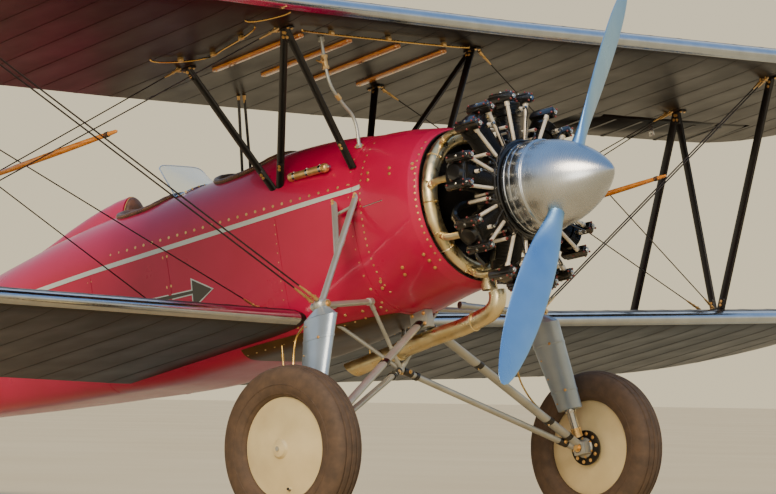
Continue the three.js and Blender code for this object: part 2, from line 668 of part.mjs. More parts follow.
// Cockpit rims, windscreen, headrest pad and seats
const RIM = { rise: 26, width: 30 };
const rimBand = (well) => {
  const ring = cut(wellShape(well, -RIM.width, 900), wellShape(well, 0, 900));
  return cut(fuselageShape(RIM.rise).intersect(ring), fuselageGrown);
};
piece("front_coaming", rimBand(WELLS[0]), LEATHER);
piece("rear_coaming", cut(rimBand(WELLS[1]), box([-3100, -300, 400], [-2972, 300, 900])), LEATHER);
const rimGrown = cut(
  fuselageShape(RIM.rise + GAP).intersect(wellShape(WELLS[1], -RIM.width - GAP, 900)),
  box([-3200, -400, -400], [-2990, 400, 100]),
);

// The windscreen is a bowed sheet: height, then its centre of curvature, depth and half width there
const SCREEN = [
  [540, -2470, 300, 250],
  [700, -2500, 250, 226],
  [862, -2545, 190, 196],
];
const BOW = { half: 1.25, steps: 12, thick: 5 };
const bowed = (rows, inset, tail) =>
  loft(rows.map(([z, x, depth, half]) => {
    const side = (half - inset) * Math.sin(BOW.half);
    const front = Array.from({ length: BOW.steps + 1 }, (_, k) => {
      const w = ((2 * k) / BOW.steps - 1) * BOW.half;
      return [x + (depth - inset) * Math.cos(w), (half - inset) * Math.sin(w), z];
    });
    return [...front, [x + tail * depth, side, z], [x + tail * depth, -side, z]];
  }));
const reach = SCREEN.map(([z, ...rest], i) => [z + (i - 1) * 20, ...rest]);
const screen = cut(bowed(SCREEN, 0, 0.3), bowed(reach, BOW.thick, -1));
piece("windscreen", cut(screen, fuselageGrown, rimGrown), GLASS);

const padBody = loft([
  [-2984.6, 118, 770], [-2970, 124, 776], [-2950, 112, 762],
].map((r) => headRing(r, 0)));
piece("headrest_pad", cut(padBody, fuselageGrown, rimGrown), LEATHER);

for (const [name, [front, rear, , floor]] of [["front_seat", WELLS[0]], ["rear_seat", WELLS[1]]]) {
  const x = rear + 44;
  const seat = join(
    box([x, -160, floor + 0.3], [x + 320, 160, floor + 190]),
    box([x, -160, floor + 180], [x + 80, 160, floor + 620]),
  );
  piece(name, seat, LEATHER);
}

// Bright cylinder on brackets along the starboard side of the deck
const bottle = join(
  rod([-1020, -398, 454], [-1330, -398, 466], 21, 14),
  box([-1080, -398, 446], [-1064, -330, 462]),
  box([-1290, -398, 450], [-1274, -330, 466]),
);
piece("side_cylinder", cut(bottle, fuselageGrown), HEATED);

// Tail: fin, rudder, stabiliser, elevators and braces
const FIN = [
  [200, -5560], [420, -5740], [620, -5930], [780, -6090], [890, -6230], [950, -6345],
];
const leafRing = (z, lead, trail, thick) =>
  Array.from({ length: 14 }, (_, k) => {
    const w = (2 * Math.PI * k) / 14;
    const u = Math.cos(w);
    const v = Math.sin(w) * (u < 0 ? 1 - 0.5 * u * u : 1);
    return [(lead + trail) / 2 + ((lead - trail) / 2) * u, (thick / 2) * v, z];
  });
const fin = loft(FIN.map(([z, lead], i) => leafRing(z, lead, -6407, 56 - 5 * i)));
const rudderPins = [[RUDDER_HINGE, 0, 430], [RUDDER_HINGE, 0, 860]];
const finBody = cut(fin, fuselageGrown, box([-6500, -60, 0], [-6338, 60, 268]));
piece("fin", join(finBody, ...rudderPins.map((p) => lug(p, 2, -6390, 5))), RED);

// A control surface section: round nose about the hinge, flat sides to a thin trailing edge.
const flapRing = (nose, length, place) => {
  const pts = [];
  for (let k = 0; k <= 6; k++) {
    const w = Math.PI / 2 - (Math.PI * k) / 6;
    pts.push(place(nose * Math.cos(w), nose * Math.sin(w)));
  }
  pts.push(place(-length, -3), place(-length, 3));
  return pts;
};
// Height and length behind the hinge
const RUDDER = [
  [-84, 190], [-60, 290], [20, 400], [160, 490], [340, 530], [560, 526],
  [760, 470], [900, 380], [985, 270], [1030, 150], [1042, 70],
];
const rudder = loft(
  RUDDER.map(([z, length], i) => flapRing(24 - i * 0.6, length, (x, t) => [RUDDER_HINGE + x, t, z])),
);
piece("rudder", cut(rudder, ...rudderPins.map((p) => lugNotch(p, 2, 5, 30))), BLACK);

// Span station and leading edge
const STABILISER = [
  [10, -5770], [500, -5800], [950, -5862], [1300, -5950], [1520, -6050], [1650, -6170], [1705, -6290],
];
const tailFlat = (s, y, lead, trail, thick) =>
  leafRing(0, lead, trail, thick).map(([x, t]) => [x, s * y, TAIL_Z + t]);
const elevatorPins = (s) => [450, 1200].map((y) => [ELEVATOR_HINGE, s * y, TAIL_Z]);
const stabiliser = {};
for (const [side, s] of SIDES) {
  const shape = (grow) =>
    loft(STABILISER.map(([y, lead], i) => {
      const thick = 54 - 5 * i + 2 * grow;
      return tailFlat(s, y, lead + grow, -6345 - grow, thick);
    }));
  stabiliser[s] = shape(GAP);
  const lugs = elevatorPins(s).map((p) => lug(p, 1, -6335, 4));
  piece(`stabiliser_${side}`, join(cut(shape(0), fuselageGrown), ...lugs), BLACK);
}
// Span station and length behind the hinge
const ELEVATOR = [
  [76, 40], [120, 110], [330, 400], [700, 430], [1100, 424],
  [1400, 350], [1590, 240], [1690, 110], [1716, 50],
];
let elevators = rod([ELEVATOR_HINGE, -90, TAIL_Z], [ELEVATOR_HINGE, 90, TAIL_Z], 13, 10);
for (const s of [1, -1]) {
  const half = ELEVATOR.map(([y, length], i) =>
    flapRing(17 - i * 0.5, length, (x, t) => [ELEVATOR_HINGE + x, s * y, TAIL_Z + t]));
  elevators = join(elevators, loft(half));
}
const elevatorNotches = [1, -1].flatMap((s) => elevatorPins(s).map((p) => lugNotch(p, 1, 4, 22)));
piece("elevators", cut(elevators, ...elevatorNotches), BLACK);
for (const [side, s] of SIDES) {
  const brace = strut(at(s, [-6050, 40, -60]), at(s, [-6080, 1010, TAIL_Z]), 34, 18);
  piece(`tail_brace_${side}`, cut(brace, fuselageGrown, stabiliser[s]), SILVER);
}

// Tail wheel: a leg under the sternpost, a swivelling fork that trails, and its wheel
const world = (x, y, z) => {
  const [c, s] = [Math.cos(ATTITUDE), Math.sin(ATTITUDE)];
  return [x * c - z * s, y, DATUM_HEIGHT + x * s + z * c];
};
const TAILWHEEL = { x: world(-6200, 0, -60)[0], radius: 120, trail: 78, top: 330 };
const legTop = world(-6190, 0, -60);
const tip = new THREE.Matrix4().makeRotationY(-ATTITUDE).setPosition(0, 0, DATUM_HEIGHT);
const leg = join(
  rod([TAILWHEEL.x, 0, 276], [TAILWHEEL.x, 0, TAILWHEEL.top], 26, 16),
  rod([TAILWHEEL.x, 0, 310], legTop, 20, 12),
  rod([TAILWHEEL.x + 4, 0, 310], world(-5960, 0, -90), 16, 10),
);
const swivelBore = rod([TAILWHEEL.x, 0, 260], [TAILWHEEL.x, 0, 306], 13, 16);
piece("tailwheel_leg", cut(leg, placed(fuselageGrown, tip), swivelBore), SILVER, level);
const axleX = TAILWHEEL.x - TAILWHEEL.trail;
const prong = (s) => strut([TAILWHEEL.x - 6, s * 40, 254], [axleX, s * 40, TAILWHEEL.radius], 44, 12);
const fork = join(
  rod([TAILWHEEL.x, 0, 246], [TAILWHEEL.x, 0, 270], 24, 16),
  rod([TAILWHEEL.x, 0, 250], [TAILWHEEL.x, 0, 303], 12.2, 16),
  rod([axleX, -36, TAILWHEEL.radius], [axleX, 36, TAILWHEEL.radius], 9, 8),
  box([TAILWHEEL.x - 34, -46, 240], [TAILWHEEL.x + 24, 46, 258]),
  prong(1),
  prong(-1),
);
piece("tailwheel_fork", fork, SILVER, level);
const SMALL = [
  [-26, 0], [-26, 34], [-20, 66], [-27, 92], [-16, 114], [0, 120],
  [16, 114], [27, 92], [20, 66], [26, 34], [26, 0],
];
const tailAxleBore = rod([0, -40, 0], [0, 40, 0], 9.9, 8);
piece("tailwheel", moved(cut(turnY(SMALL, 16), tailAxleBore), axleX, 0, TAILWHEEL.radius), RUBBER, level);

// Stand the aircraft with the middle of its footprint at the origin
aircraft.updateMatrixWorld(true);
const bounds = new THREE.Box3().setFromObject(aircraft, true);
const middle = bounds.getCenter(new THREE.Vector3());
aircraft.position.set(-middle.x, -middle.y, -bounds.min.z);

export default aircraft;
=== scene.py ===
"""Looks for the open two-seat biplane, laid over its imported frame. Shapes are drawn in millimetres in the
fuselage's own axes: x forward from the engine's cylinders, y to port, z up. BODY puts them into the frame."""
from math import cos, pi, radians, sin, sqrt

import bmesh
import bpy
from mathutils import Matrix, Vector


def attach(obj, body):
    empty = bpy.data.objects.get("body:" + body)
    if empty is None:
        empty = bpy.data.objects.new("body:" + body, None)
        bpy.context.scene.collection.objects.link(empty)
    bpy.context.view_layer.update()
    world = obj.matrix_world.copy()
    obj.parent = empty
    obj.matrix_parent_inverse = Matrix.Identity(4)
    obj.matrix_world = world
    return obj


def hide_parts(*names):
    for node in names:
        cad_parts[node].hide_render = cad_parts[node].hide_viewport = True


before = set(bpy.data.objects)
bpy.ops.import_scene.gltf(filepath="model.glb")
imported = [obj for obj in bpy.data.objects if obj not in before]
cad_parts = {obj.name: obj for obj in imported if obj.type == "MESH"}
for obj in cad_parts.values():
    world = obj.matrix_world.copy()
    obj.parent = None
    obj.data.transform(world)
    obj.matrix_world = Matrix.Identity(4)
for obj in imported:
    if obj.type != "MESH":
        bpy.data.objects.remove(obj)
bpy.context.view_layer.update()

# Places
ATTITUDE = radians(12.7)
BODY = (Matrix.Translation((3.125, 0, 1.8332)) @ Matrix.Rotation(-ATTITUDE, 4, "Y")
        @ Matrix.Diagonal((0.001, 0.001, 0.001, 1)))
ENGINE = BODY @ Matrix.Translation((0, 0, 70)) @ Matrix.Rotation(radians(3), 4, "Y")
LEVEL = Matrix.Diagonal((0.001, 0.001, 0.001, 1))
SIDES = (("left", 1), ("right", -1))
WHEEL = (-771, 1325, -1237)
APEX = (-745, 950, -435)
UPPER = dict(lead=-525, under=1194, slope=0.027, rise=0.0117, straight=920)
LOWER = dict(lead=-1356, under=-403, slope=0.0165, rise=0.03, straight=500)


def under(wing, x, y):
    """Height of a wing's flat under side."""
    outboard = max(0, abs(y) - wing["straight"])
    return wing["under"] + outboard * wing["rise"] + (x - wing["lead"]) * wing["slope"]


# Camera, light and floor
def colour(hex_value):
    """sRGB hex to the linear values that the shaders take."""
    parts = [int(hex_value[i:i + 2], 16) / 255 for i in (1, 3, 5)]
    return [c / 12.92 if c <= 0.04045 else ((c + 0.055) / 1.055) ** 2.4 for c in parts] + [1.0]


def add(tree, kind, inputs=(), **settings):
    """Adds a node with its settings, its values and its links."""
    node = tree.nodes.new(kind)
    for key, value in settings.items():
        setattr(node, key, value)
    for key, value in dict(inputs).items():
        if isinstance(value, bpy.types.NodeSocket):
            tree.links.new(value, node.inputs[key])
        else:
            node.inputs[key].default_value = value
    return node


PHOTO_WIDTH, FOCAL_LENGTH = 776, 3975.5  # pixels
SENSOR = 36
EYE = (17.322, -17.202, 0.808)
YAW, PITCH, ROLL = 0.7229, 0.0348, 0.015
scene = bpy.context.scene
camera = bpy.data.objects.new("camera", bpy.data.cameras.new("camera"))
scene.collection.objects.link(camera)
camera.data.sensor_width = SENSOR
camera.data.lens = SENSOR * FOCAL_LENGTH / PHOTO_WIDTH
look = Vector((-sin(YAW) * cos(PITCH), cos(YAW) * cos(PITCH), sin(PITCH)))
camera.matrix_world = (Matrix.Translation(EYE) @ look.to_track_quat("-Z", "Y").to_matrix().to_4x4()
                       @ Matrix.Rotation(ROLL, 4, "Z"))
camera.data.clip_end = 500
scene.camera = camera


def light_up(name, kind, place, toward, power, shade, **settings):
    light = bpy.data.lights.new(name, kind)
    light.energy, light.color = power, colour(shade)[:3]
    for key, value in settings.items():
        setattr(light, key, value)
    holder = bpy.data.objects.new(name, light)
    holder.location = place
    holder.rotation_euler = toward.to_track_quat("-Z", "Y").to_euler()
    scene.collection.objects.link(holder)


FILL_AT = Vector((14, -18, 3.8))
light_up("key", "SUN", (0, 0, 0), Vector((-0.35, 0.75, -0.62)), 3.0, "#ffe6c4", angle=radians(30))
light_up("fill", "AREA", FILL_AT, Vector((1, 0, 1.6)) - FILL_AT, 900, "#fff4e2", shape="DISK", size=9)

world = bpy.data.worlds.new("soft studio")
scene.world = world
world.use_nodes = True
sky = world.node_tree
sky.nodes.clear()
where = add(sky, "ShaderNodeTexCoord")
height = add(sky, "ShaderNodeSeparateXYZ", {"Vector": where.outputs["Generated"]})
ramp = add(sky, "ShaderNodeValToRGB", {"Fac": height.outputs["Z"]})
ramp.color_ramp.elements[0].color = colour("#f2e2bd")
ramp.color_ramp.elements[1].color = colour("#8fb4e4")
ramp.color_ramp.elements[1].position = 0.65
for position, tint_there in ((0.14, "#efe2c4"), (0.3, "#d5dde6")):
    ramp.color_ramp.elements.new(position).color = colour(tint_there)
glow = add(sky, "ShaderNodeBackground", {"Color": ramp.outputs["Color"], "Strength": 1.0})
add(sky, "ShaderNodeOutputWorld", {"Surface": glow.outputs["Background"]})


# Shapes
def facing(way):
    """The turn that takes Z to a direction."""
    return way.to_track_quat("Z", "Y").to_matrix().to_4x4()


def bar(bm, a, b, r, r2=None, sides=16):
    """A round bar from a to b."""
    a, b = Vector(a), Vector(b)
    bmesh.ops.create_cone(bm, cap_ends=True, segments=sides, radius1=r, radius2=r if r2 is None else r2,
                          depth=(b - a).length, matrix=Matrix.Translation((a + b) / 2) @ facing(b - a))


def blade_strut(bm, a, b, chord, thick, end=1.0, sides=24):
    """A streamlined strut whose long axis lies fore and aft."""
    a, b = Vector(a), Vector(b)
    along = (b - a).normalized()
    fore = (Vector((1, 0, 0)) - along * along.x).normalized()
    turn = Matrix([fore * chord / 2, along.cross(fore) * thick / 2, along]).transposed().to_4x4()
    bmesh.ops.create_cone(bm, cap_ends=True, segments=sides, radius1=1, radius2=end, depth=(b - a).length,
                          matrix=Matrix.Translation((a + b) / 2) @ turn)


def edges_of(verts):
    """The edges at these vertices, always in the same order."""
    return list(dict.fromkeys(e for v in verts for e in v.link_edges))


def block(bm, low, high, bevel=0.0):
    """A box between two opposite corners, its edges rounded."""
    low, high = [Vector([pick(pair) for pair in zip(low, high)]) for pick in (min, max)]
    made = bmesh.ops.create_cube(bm, size=1, matrix=Matrix.Translation((low + high) / 2)
                                 @ Matrix.Diagonal((*(high - low), 1)))["verts"]
    if bevel:
        bmesh.ops.bevel(bm, geom=edges_of(made), offset=bevel, segments=2, profile=0.5, affect="EDGES",
                        material=-1)


def bolt(bm, point, outward, r=7.0):
    """A hexagon head on its washer."""
    point, out = Vector(point), Vector(outward).normalized()
    bar(bm, point - out * 2, point + out * 1.5, r * 1.6, sides=10)
    bar(bm, point, point + out * r, r, sides=6)


def ball(bm, centre, r, detail=12):
    bmesh.ops.create_uvsphere(bm, u_segments=detail, v_segments=max(6, detail // 2), radius=r,
                              matrix=Matrix.Translation(centre))


def turned(bm, rows, steps=64):
    """A body of revolution about X from rows of (x, radius)."""
    verts = [bm.verts.new((x, r, 0)) for x, r in rows]
    edges = [bm.edges.new(pair) for pair in zip(verts, verts[1:])]
    bmesh.ops.spin(bm, geom=verts + edges, axis=(1, 0, 0), cent=(0, 0, 0), steps=steps, angle=2 * pi,
                   use_merge=True)
    bmesh.ops.remove_doubles(bm, verts=bm.verts, dist=0.01)


def turning(rows, steps=64):
    """The same, as a new bmesh."""
    bm = bmesh.new()
    turned(bm, rows, steps)
    return bm


def loft(bm, rings, ends=True):
    """A skin through rings of points, each ring a circle whose points are moved."""
    loops = []
    for ring in rings:
        ring_verts = bmesh.ops.create_circle(bm, cap_ends=False, radius=1, segments=len(ring))["verts"]
        for vert, point in zip(ring_verts, ring):
            vert.co = point
        loops.append(edges_of(ring_verts))
    for a, b in zip(loops, loops[1:]):
        bmesh.ops.bridge_loops(bm, edges=a + b)
    if ends:
        for loop in (loops[0], loops[-1]):
            bmesh.ops.edgeloop_fill(bm, edges=loop)


def pipe(bm, points, r, sides=12, closed=False):
    """A bent tube through points."""
    curve = bpy.data.curves.new("run", "CURVE")
    curve.dimensions, curve.bevel_depth, curve.bevel_resolution = "3D", r, max(0, sides // 4 - 1)
    curve.use_fill_caps = not closed
    run = curve.splines.new("BEZIER")
    run.resolution_u, run.use_cyclic_u = 8, closed
    run.bezier_points.add(len(points) - 1)
    for knot, point in zip(run.bezier_points, points):
        knot.co, knot.handle_left_type, knot.handle_right_type = point, "AUTO", "AUTO"
    holder = bpy.data.objects.new("run", curve)
    scene.collection.objects.link(holder)
    bpy.context.view_layer.update()
    mesh = bpy.data.meshes.new_from_object(holder)
    bm.from_mesh(mesh)
    bpy.data.objects.remove(holder)
    bpy.data.curves.remove(curve)
    bpy.data.meshes.remove(mesh)


def circle(count, r, start=0.0):
    """Pairs of coordinates at equal steps round a circle."""
    angles = [start + 2 * pi * k / count for k in range(count)]
    return [(r * cos(angle), r * sin(angle)) for angle in angles]


def hoop(bm, x, r, wire_r, count, sides):
    """A ring of round wire or tube about X."""
    pipe(bm, [(x, y, z) for y, z in circle(count, r)], wire_r, sides, closed=True)


def copies(bm, unit, matrices=(Matrix(),)):
    """Moves the unit bmesh into bm, once for each matrix."""
    mesh = bpy.data.meshes.new("unit")
    unit.to_mesh(mesh)
    for matrix in matrices:
        moved = mesh.copy()
        moved.transform(matrix)
        bm.from_mesh(moved)
        bpy.data.meshes.remove(moved)
    bpy.data.meshes.remove(mesh)
    unit.free()


def mirrored(side, point):
    return Vector((point[0], side * point[1], point[2]))


FIRST = 90  # stands for the first material until the piece is made


def mark(bm):
    """Closes a group of faces: the ones made from here on can be given another material."""
    tint(bm, 0)


def tint(bm, index):
    """Gives the faces made since the last call a material slot."""
    for face in bm.faces:
        if face.material_index == 0:
            face.material_index = index or FIRST


def smooth(obj, angle):
    mesh = obj.data
    mesh.polygons.foreach_set("use_smooth", [True] * len(mesh.polygons))
    mesh.set_sharp_from_angle(angle=radians(angle))


def loose(name, bm, place=BODY):
    """Makes an object of the bmesh, at the origin."""
    bmesh.ops.transform(bm, matrix=place, verts=bm.verts)
    bmesh.ops.recalc_face_normals(bm, faces=bm.faces)
    mesh = bpy.data.meshes.new(name)
    bm.to_mesh(mesh)
    bm.free()
    obj = bpy.data.objects.new(name, mesh)
    scene.collection.objects.link(obj)
    return obj


def piece(name, bm, *materials, body="airframe", place=BODY, angle=35, slot=None, replaces=()):
    """Makes a finished object of the bmesh, riding on a body."""
    for face in bm.faces:
        face.material_index %= FIRST
    obj = loose(name, bm, place)
    for material in materials:
        obj.data.materials.append(material)
    smooth(obj, angle)
    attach(obj, body)
    if replaces:
        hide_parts(*replaces)
    return obj


def from_node(*nodes):
    """The merged copy of CAD nodes, in metres in the frame."""
    bm = bmesh.new()
    for node in nodes:
        bm.from_mesh(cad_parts[node].data)
    bmesh.ops.remove_doubles(bm, verts=bm.verts, dist=1e-5)
    return bm


BACK = BODY.inverted()


def in_body(*nodes):
    """The same, in millimetres in the fuselage's axes."""
    bm = from_node(*nodes)
    bmesh.ops.transform(bm, matrix=BACK, verts=bm.verts)
    return bm


def keep(bm, point, outward, cap=False):
    """Cuts off what lies beyond a plane, and closes the cut if asked."""
    made = bmesh.ops.bisect_plane(bm, geom=bm.verts[:] + bm.edges[:] + bm.faces[:], plane_co=point,
                                  plane_no=outward, clear_outer=True, dist=0.001)
    if cap:
        rim = [e for e in made["geom_cut"] if isinstance(e, bmesh.types.BMEdge)]
        bmesh.ops.holes_fill(bm, edges=rim, sides=0)


def slab(bm, low, high, axis=(1, 0, 0)):
    """Keeps what lies between two planes square to the axis."""
    axis = Vector(axis)
    keep(bm, axis * high, axis)
    keep(bm, axis * low, -axis)


def raise_skin(bm, lift, thick):
    """Lifts an open patch of skin off its surface and gives it thickness."""
    bm.normal_update()
    for vert in bm.verts:
        vert.co += vert.normal * lift
    bmesh.ops.solidify(bm, geom=bm.faces[:], thickness=thick)


# Finishes
def finish(name, base, rough, metal=0.0, coat=0.0, ior=1.5):
    """A material with its shader, its tree and Object coordinates in millimetres."""
    material = bpy.data.materials.new(name)
    material.use_nodes = True
    tree = material.node_tree
    shader = tree.nodes["Principled BSDF"]
    shader.inputs["Base Color"].default_value = colour(base)
    shader.inputs["Roughness"].default_value = rough
    shader.inputs["Metallic"].default_value = metal
    shader.inputs["IOR"].default_value = ior
    if coat:
        shader.inputs["Coat Weight"].default_value = coat
        shader.inputs["Coat Roughness"].default_value = 0.05
    place = add(tree, "ShaderNodeTexCoord")
    return material, tree, shader, place.outputs["Object"]


def blotch(tree, where, size, low, high, detail=3.0, stretch=(1, 1, 1)):
    """Noise with features of a size in metres, spread between two values."""
    scaled = add(tree, "ShaderNodeMapping", {"Vector": where, "Scale": stretch})
    noise = add(tree, "ShaderNodeTexNoise", {"Vector": scaled.outputs["Vector"], "Scale": 1 / size,
                                             "Detail": detail})
    return add(tree, "ShaderNodeMapRange", {"Value": noise.outputs["Fac"], "From Min": 0.3, "From Max": 0.7,
                                           "To Min": low, "To Max": high}).outputs["Result"]


def two_tone(tree, shader, amount, a, b):
    mix = add(tree, "ShaderNodeMix", {"Factor": amount}, data_type="RGBA")
    mix.inputs["A"].default_value = colour(a)
    mix.inputs["B"].default_value = colour(b)
    tree.links.new(mix.outputs["Result"], shader.inputs["Base Color"])
    return mix.outputs["Result"]


def bumps(tree, shader, value, strength, distance):
    bump = add(tree, "ShaderNodeBump", {"Height": value, "Strength": strength, "Distance": distance})
    tree.links.new(bump.outputs["Normal"], shader.inputs["Normal"])


def painted(name, a, b, rough, coat, grain=0.35, metal=0.0, level=0.5):
    """Sprayed paint: two close shades in wide patches, slightly uneven gloss and a fine orange peel."""
    material, tree, shader, where = finish(name, a, rough, metal, coat)
    shader.inputs["Specular IOR Level"].default_value = level
    two_tone(tree, shader, blotch(tree, where, grain, 0, 1), a, b)
    tree.links.new(blotch(tree, where, 0.25, rough * 0.9, rough * 1.15), shader.inputs["Roughness"])
    bumps(tree, shader, blotch(tree, where, 0.008, 0, 1), 0.02, 0.0003)
    return material


CRIMSON = painted("crimson lacquer", "#ae0a3c", "#b61144", 0.3, 0.25, level=0.35)
# Dark colour: real paint on the cockpit furniture and cord whippings, painted shade inside the cowl.
DARK_COLOUR_AND_PAINTED_SHADE = painted("dark paint and painted shade", "#2b2320", "#1c1815", 0.6, 0.0)
LINING = painted("grey-green cockpit enamel", "#a09c86", "#8c8872", 0.5, 0.0)
STRIPE = painted("silver stripe paint", "#c3cdc6", "#b3bfb9", 0.3, 0.6)
DOPE = painted("gloss black dope on fabric", "#17120f", "#221a15", 0.34, 0.0, grain=0.8, level=0.3)
TAPE = painted("gloss black dope on rib tape", "#1b1512", "#282019", 0.36, 0.0, grain=0.5, level=0.3)
BLACK = painted("black stove enamel", "#0b0a09", "#161412", 0.3, 0.6, grain=0.1)
SILVER = painted("aluminium paint on steel tube", "#b9bbb4", "#a8a99f", 0.38, 0.2, grain=0.12, metal=0.55)
CREAM = painted("cream enamel", "#e6d4a4", "#d8c595", 0.33, 0.3, grain=0.15, metal=0.25)
BRASS = painted("lacquered bronze", "#e8c283", "#cda25e", 0.3, 0.2, grain=0.05, metal=0.75)
REDCAP = painted("red varnished cap", "#7c2c24", "#67221c", 0.35, 0.3, grain=0.03)


def polished(name, a, b, rough, size, stretch=(1, 1, 1)):
    """Bare metal buffed bright: fine scratches along the way it was rubbed."""
    material, tree, shader, where = finish(name, a, rough, 1.0)
    two_tone(tree, shader, blotch(tree, where, 0.12, 0, 1), a, b)
    tree.links.new(blotch(tree, where, size, rough * 0.7, rough * 1.5, 6.0, stretch),
                   shader.inputs["Roughness"])
    return material


STEEL = polished("bright steel", "#d2d3d0", "#bdbdb8", 0.18, 0.01)
ALUMINIUM = polished("polished aluminium sheet", "#c4ccd4", "#b3bcc6", 0.16, 0.02, (0.3, 1, 1))
# The blades' blue is a painted reflection of the sky on bare polished metal.
BLADE = polished("polished duralumin, blue as painted sky reflection", "#8fbbe2", "#86b4dd", 0.32, 0.3, (1, 1, 0.2))
HEATED = polished("heat-tinted steel", "#f0e4bd", "#dcc58e", 0.32, 0.05)
CABLE = painted("varnished steel wire", "#2c2420", "#221b18", 0.45, 0.0, metal=0.3)
STRUT = painted("black enamel on strut", "#0d0b0a", "#14110f", 0.36, 0.15, grain=0.3, level=0.35)
TUBE = painted("silver-cream enamel on tube", "#e9e0cd", "#dcd0b8", 0.28, 0.4, grain=0.05, metal=0.25)
DARK = polished("blued steel", "#4a4845", "#33312f", 0.4, 0.01)


def spun_metal():
    """The nose cone is spun and buffed on a lathe, which leaves fine rings round its axis."""
    material, tree, shader, where = finish("spun aluminium", "#c9ced3", 0.14, 1.0)
    turned_back = add(tree, "ShaderNodeMapping", {"Vector": where,
                                                  "Location": tuple(-v for v in ENGINE.translation)})
    square = add(tree, "ShaderNodeMapping", {"Vector": turned_back.outputs["Vector"],
                                             "Rotation": (0, radians(9.7), 0)})
    split = add(tree, "ShaderNodeSeparateXYZ", {"Vector": square.outputs["Vector"]})
    ring = add(tree, "ShaderNodeCombineXYZ", {"X": split.outputs["X"]})
    noise = add(tree, "ShaderNodeTexNoise", {"Vector": ring.outputs["Vector"], "Scale": 260.0, "Detail": 5.0})
    rough = add(tree, "ShaderNodeMapRange", {"Value": noise.outputs["Fac"], "From Min": 0.3, "From Max": 0.7,
                                            "To Min": 0.2, "To Max": 0.36})
    tree.links.new(rough.outputs["Result"], shader.inputs["Roughness"])
    bumps(tree, shader, noise.outputs["Fac"], 0.12, 0.0006)
    two_tone(tree, shader, blotch(tree, where, 0.2, 0, 1), "#c6ccd2", "#b2b8be")
    return material


SPUN = spun_metal()


def rubber():
    """Vulcanised rubber, brown with dried mud and dust where it meets the ground."""
    material, tree, shader, where = finish("dusty rubber", "#2e2721", 0.75)
    two_tone(tree, shader, blotch(tree, where, 0.05, 0, 1, 6.0), "#4a3b2e", "#5f4b39")
    bumps(tree, shader, blotch(tree, where, 0.004, 0, 1), 0.25, 0.001)
    return material


RUBBER = rubber()


def leather():
    material, tree, shader, where = finish("oiled brown leather", "#4a2a17", 0.5)
    two_tone(tree, shader, blotch(tree, where, 0.05, 0, 1), "#3b2213", "#6a4227")
    grain = add(tree, "ShaderNodeTexVoronoi", {"Vector": where, "Scale": 260.0})
    bumps(tree, shader, grain.outputs["Distance"], 0.35, 0.0012)
    shader.inputs["Sheen Weight"].default_value = 0.15
    return material


LEATHER = leather()


def varnished_wood():
    """Spruce under clear varnish: grain lines along the stick about 4 mm apart."""
    material, tree, shader, where = finish("varnished spruce", "#d98a34", 0.25, coat=0.9)
    grain = blotch(tree, where, 0.006, 0, 1, 4.0, (0.08, 1, 1))
    two_tone(tree, shader, grain, "#e39a3e", "#b8661f")
    bumps(tree, shader, grain, 0.08, 0.0004)
    return material


SPRUCE = varnished_wood()


def screen():
    """Clear acrylic sheet, a faint cool tint at its edges."""
    material, tree, shader, where = finish("clear acrylic", "#eef6f8", 0.03, ior=1.49)
    shader.inputs["Transmission Weight"].default_value = 1.0
    tree.links.new(blotch(tree, where, 0.1, 0.02, 0.06), shader.inputs["Roughness"])
    return material


ACRYLIC = screen()


def floor_paint():
    material, tree, shader, where = finish("pale studio floor", "#e0c898", 0.8)
    two_tone(tree, shader, blotch(tree, where, 3.0, 0, 1), "#e2cc9e", "#d9c190")
    return material


ground = bmesh.new()
bmesh.ops.create_circle(ground, cap_ends=True, radius=160, segments=96)
floor_mesh = bpy.data.meshes.new("floor")
ground.to_mesh(floor_mesh)
ground.free()
floor_mesh.materials.append(floor_paint())
floor = bpy.data.objects.new("floor", floor_mesh)
floor.location.z = -0.001
scene.collection.objects.link(floor)


# Fuselage: rows of station, half width, lowest, widest and highest point, and how square the lower half is
DECK_POWER = 2.1  # the upper half is nearly an ellipse, which has 2
SECTIONS = [
    (-850, 445, -430, 90, 622, 2.7), (-1000, 442, -446, 140, 652, 3.2), (-1200, 437, -462, 205, 678, 4.2),
    (-1450, 432, -474, 262, 694, 6), (-1750, 430, -482, 285, 698, 8), (-2150, 430, -486, 286, 680, 8),
    (-2550, 430, -484, 285, 668, 8), (-2900, 426, -458, 284, 670, 8), (-3300, 402, -418, 284, 650, 7),
    (-3800, 356, -366, 283, 596, 6), (-4400, 288, -296, 274, 512, 5), (-5100, 200, -212, 258, 412, 4),
    (-5800, 112, -136, 240, 330, 3.4), (-6340, 36, -72, 222, 286, 3),
]
NOSE = [
    (-849.6, 445, -430, 90, 622, 2.7), (-740, 463, -420, 86, 612, 2.4), (-600, 475, -404, 82, 592, 2.2),
    (-480, 477, -394, 80, 566, 2.1), (-410, 470, -388, 80, 552, 2.05), (-385, 461, -380, 80, 542, 2.05),
    (-362, 453, -373, 80, 534, 2.05), (-347, 446, -366, 80, 528, 2.05),
]
# Station, half width and height of the fairing behind the rear cockpit
HEADREST = [(-2985, 128, 782), (-3150, 120, 770), (-3450, 92, 718), (-3800, 50, 634), (-3990, 14, 575)]
# The cockpits: front and rear edge, half width and floor
WELLS = [(-1590, -2110, 294, -200), (-2490, -2955, 276, -180)]


def signed(value, power):
    return abs(value) ** power * (1 if value >= 0 else -1)


def hull_ring(row, count=96):
    """A section of the fuselage from a row of SECTIONS."""
    x, half, low, mid, top, square = row
    ring = []
    for c, s in circle(count, 1, pi / count):
        power, reach = (2 / DECK_POWER, top - mid) if s >= 0 else (2 / square, mid - low)
        ring.append((x, half * signed(c, power), mid + reach * signed(s, power)))
    return ring


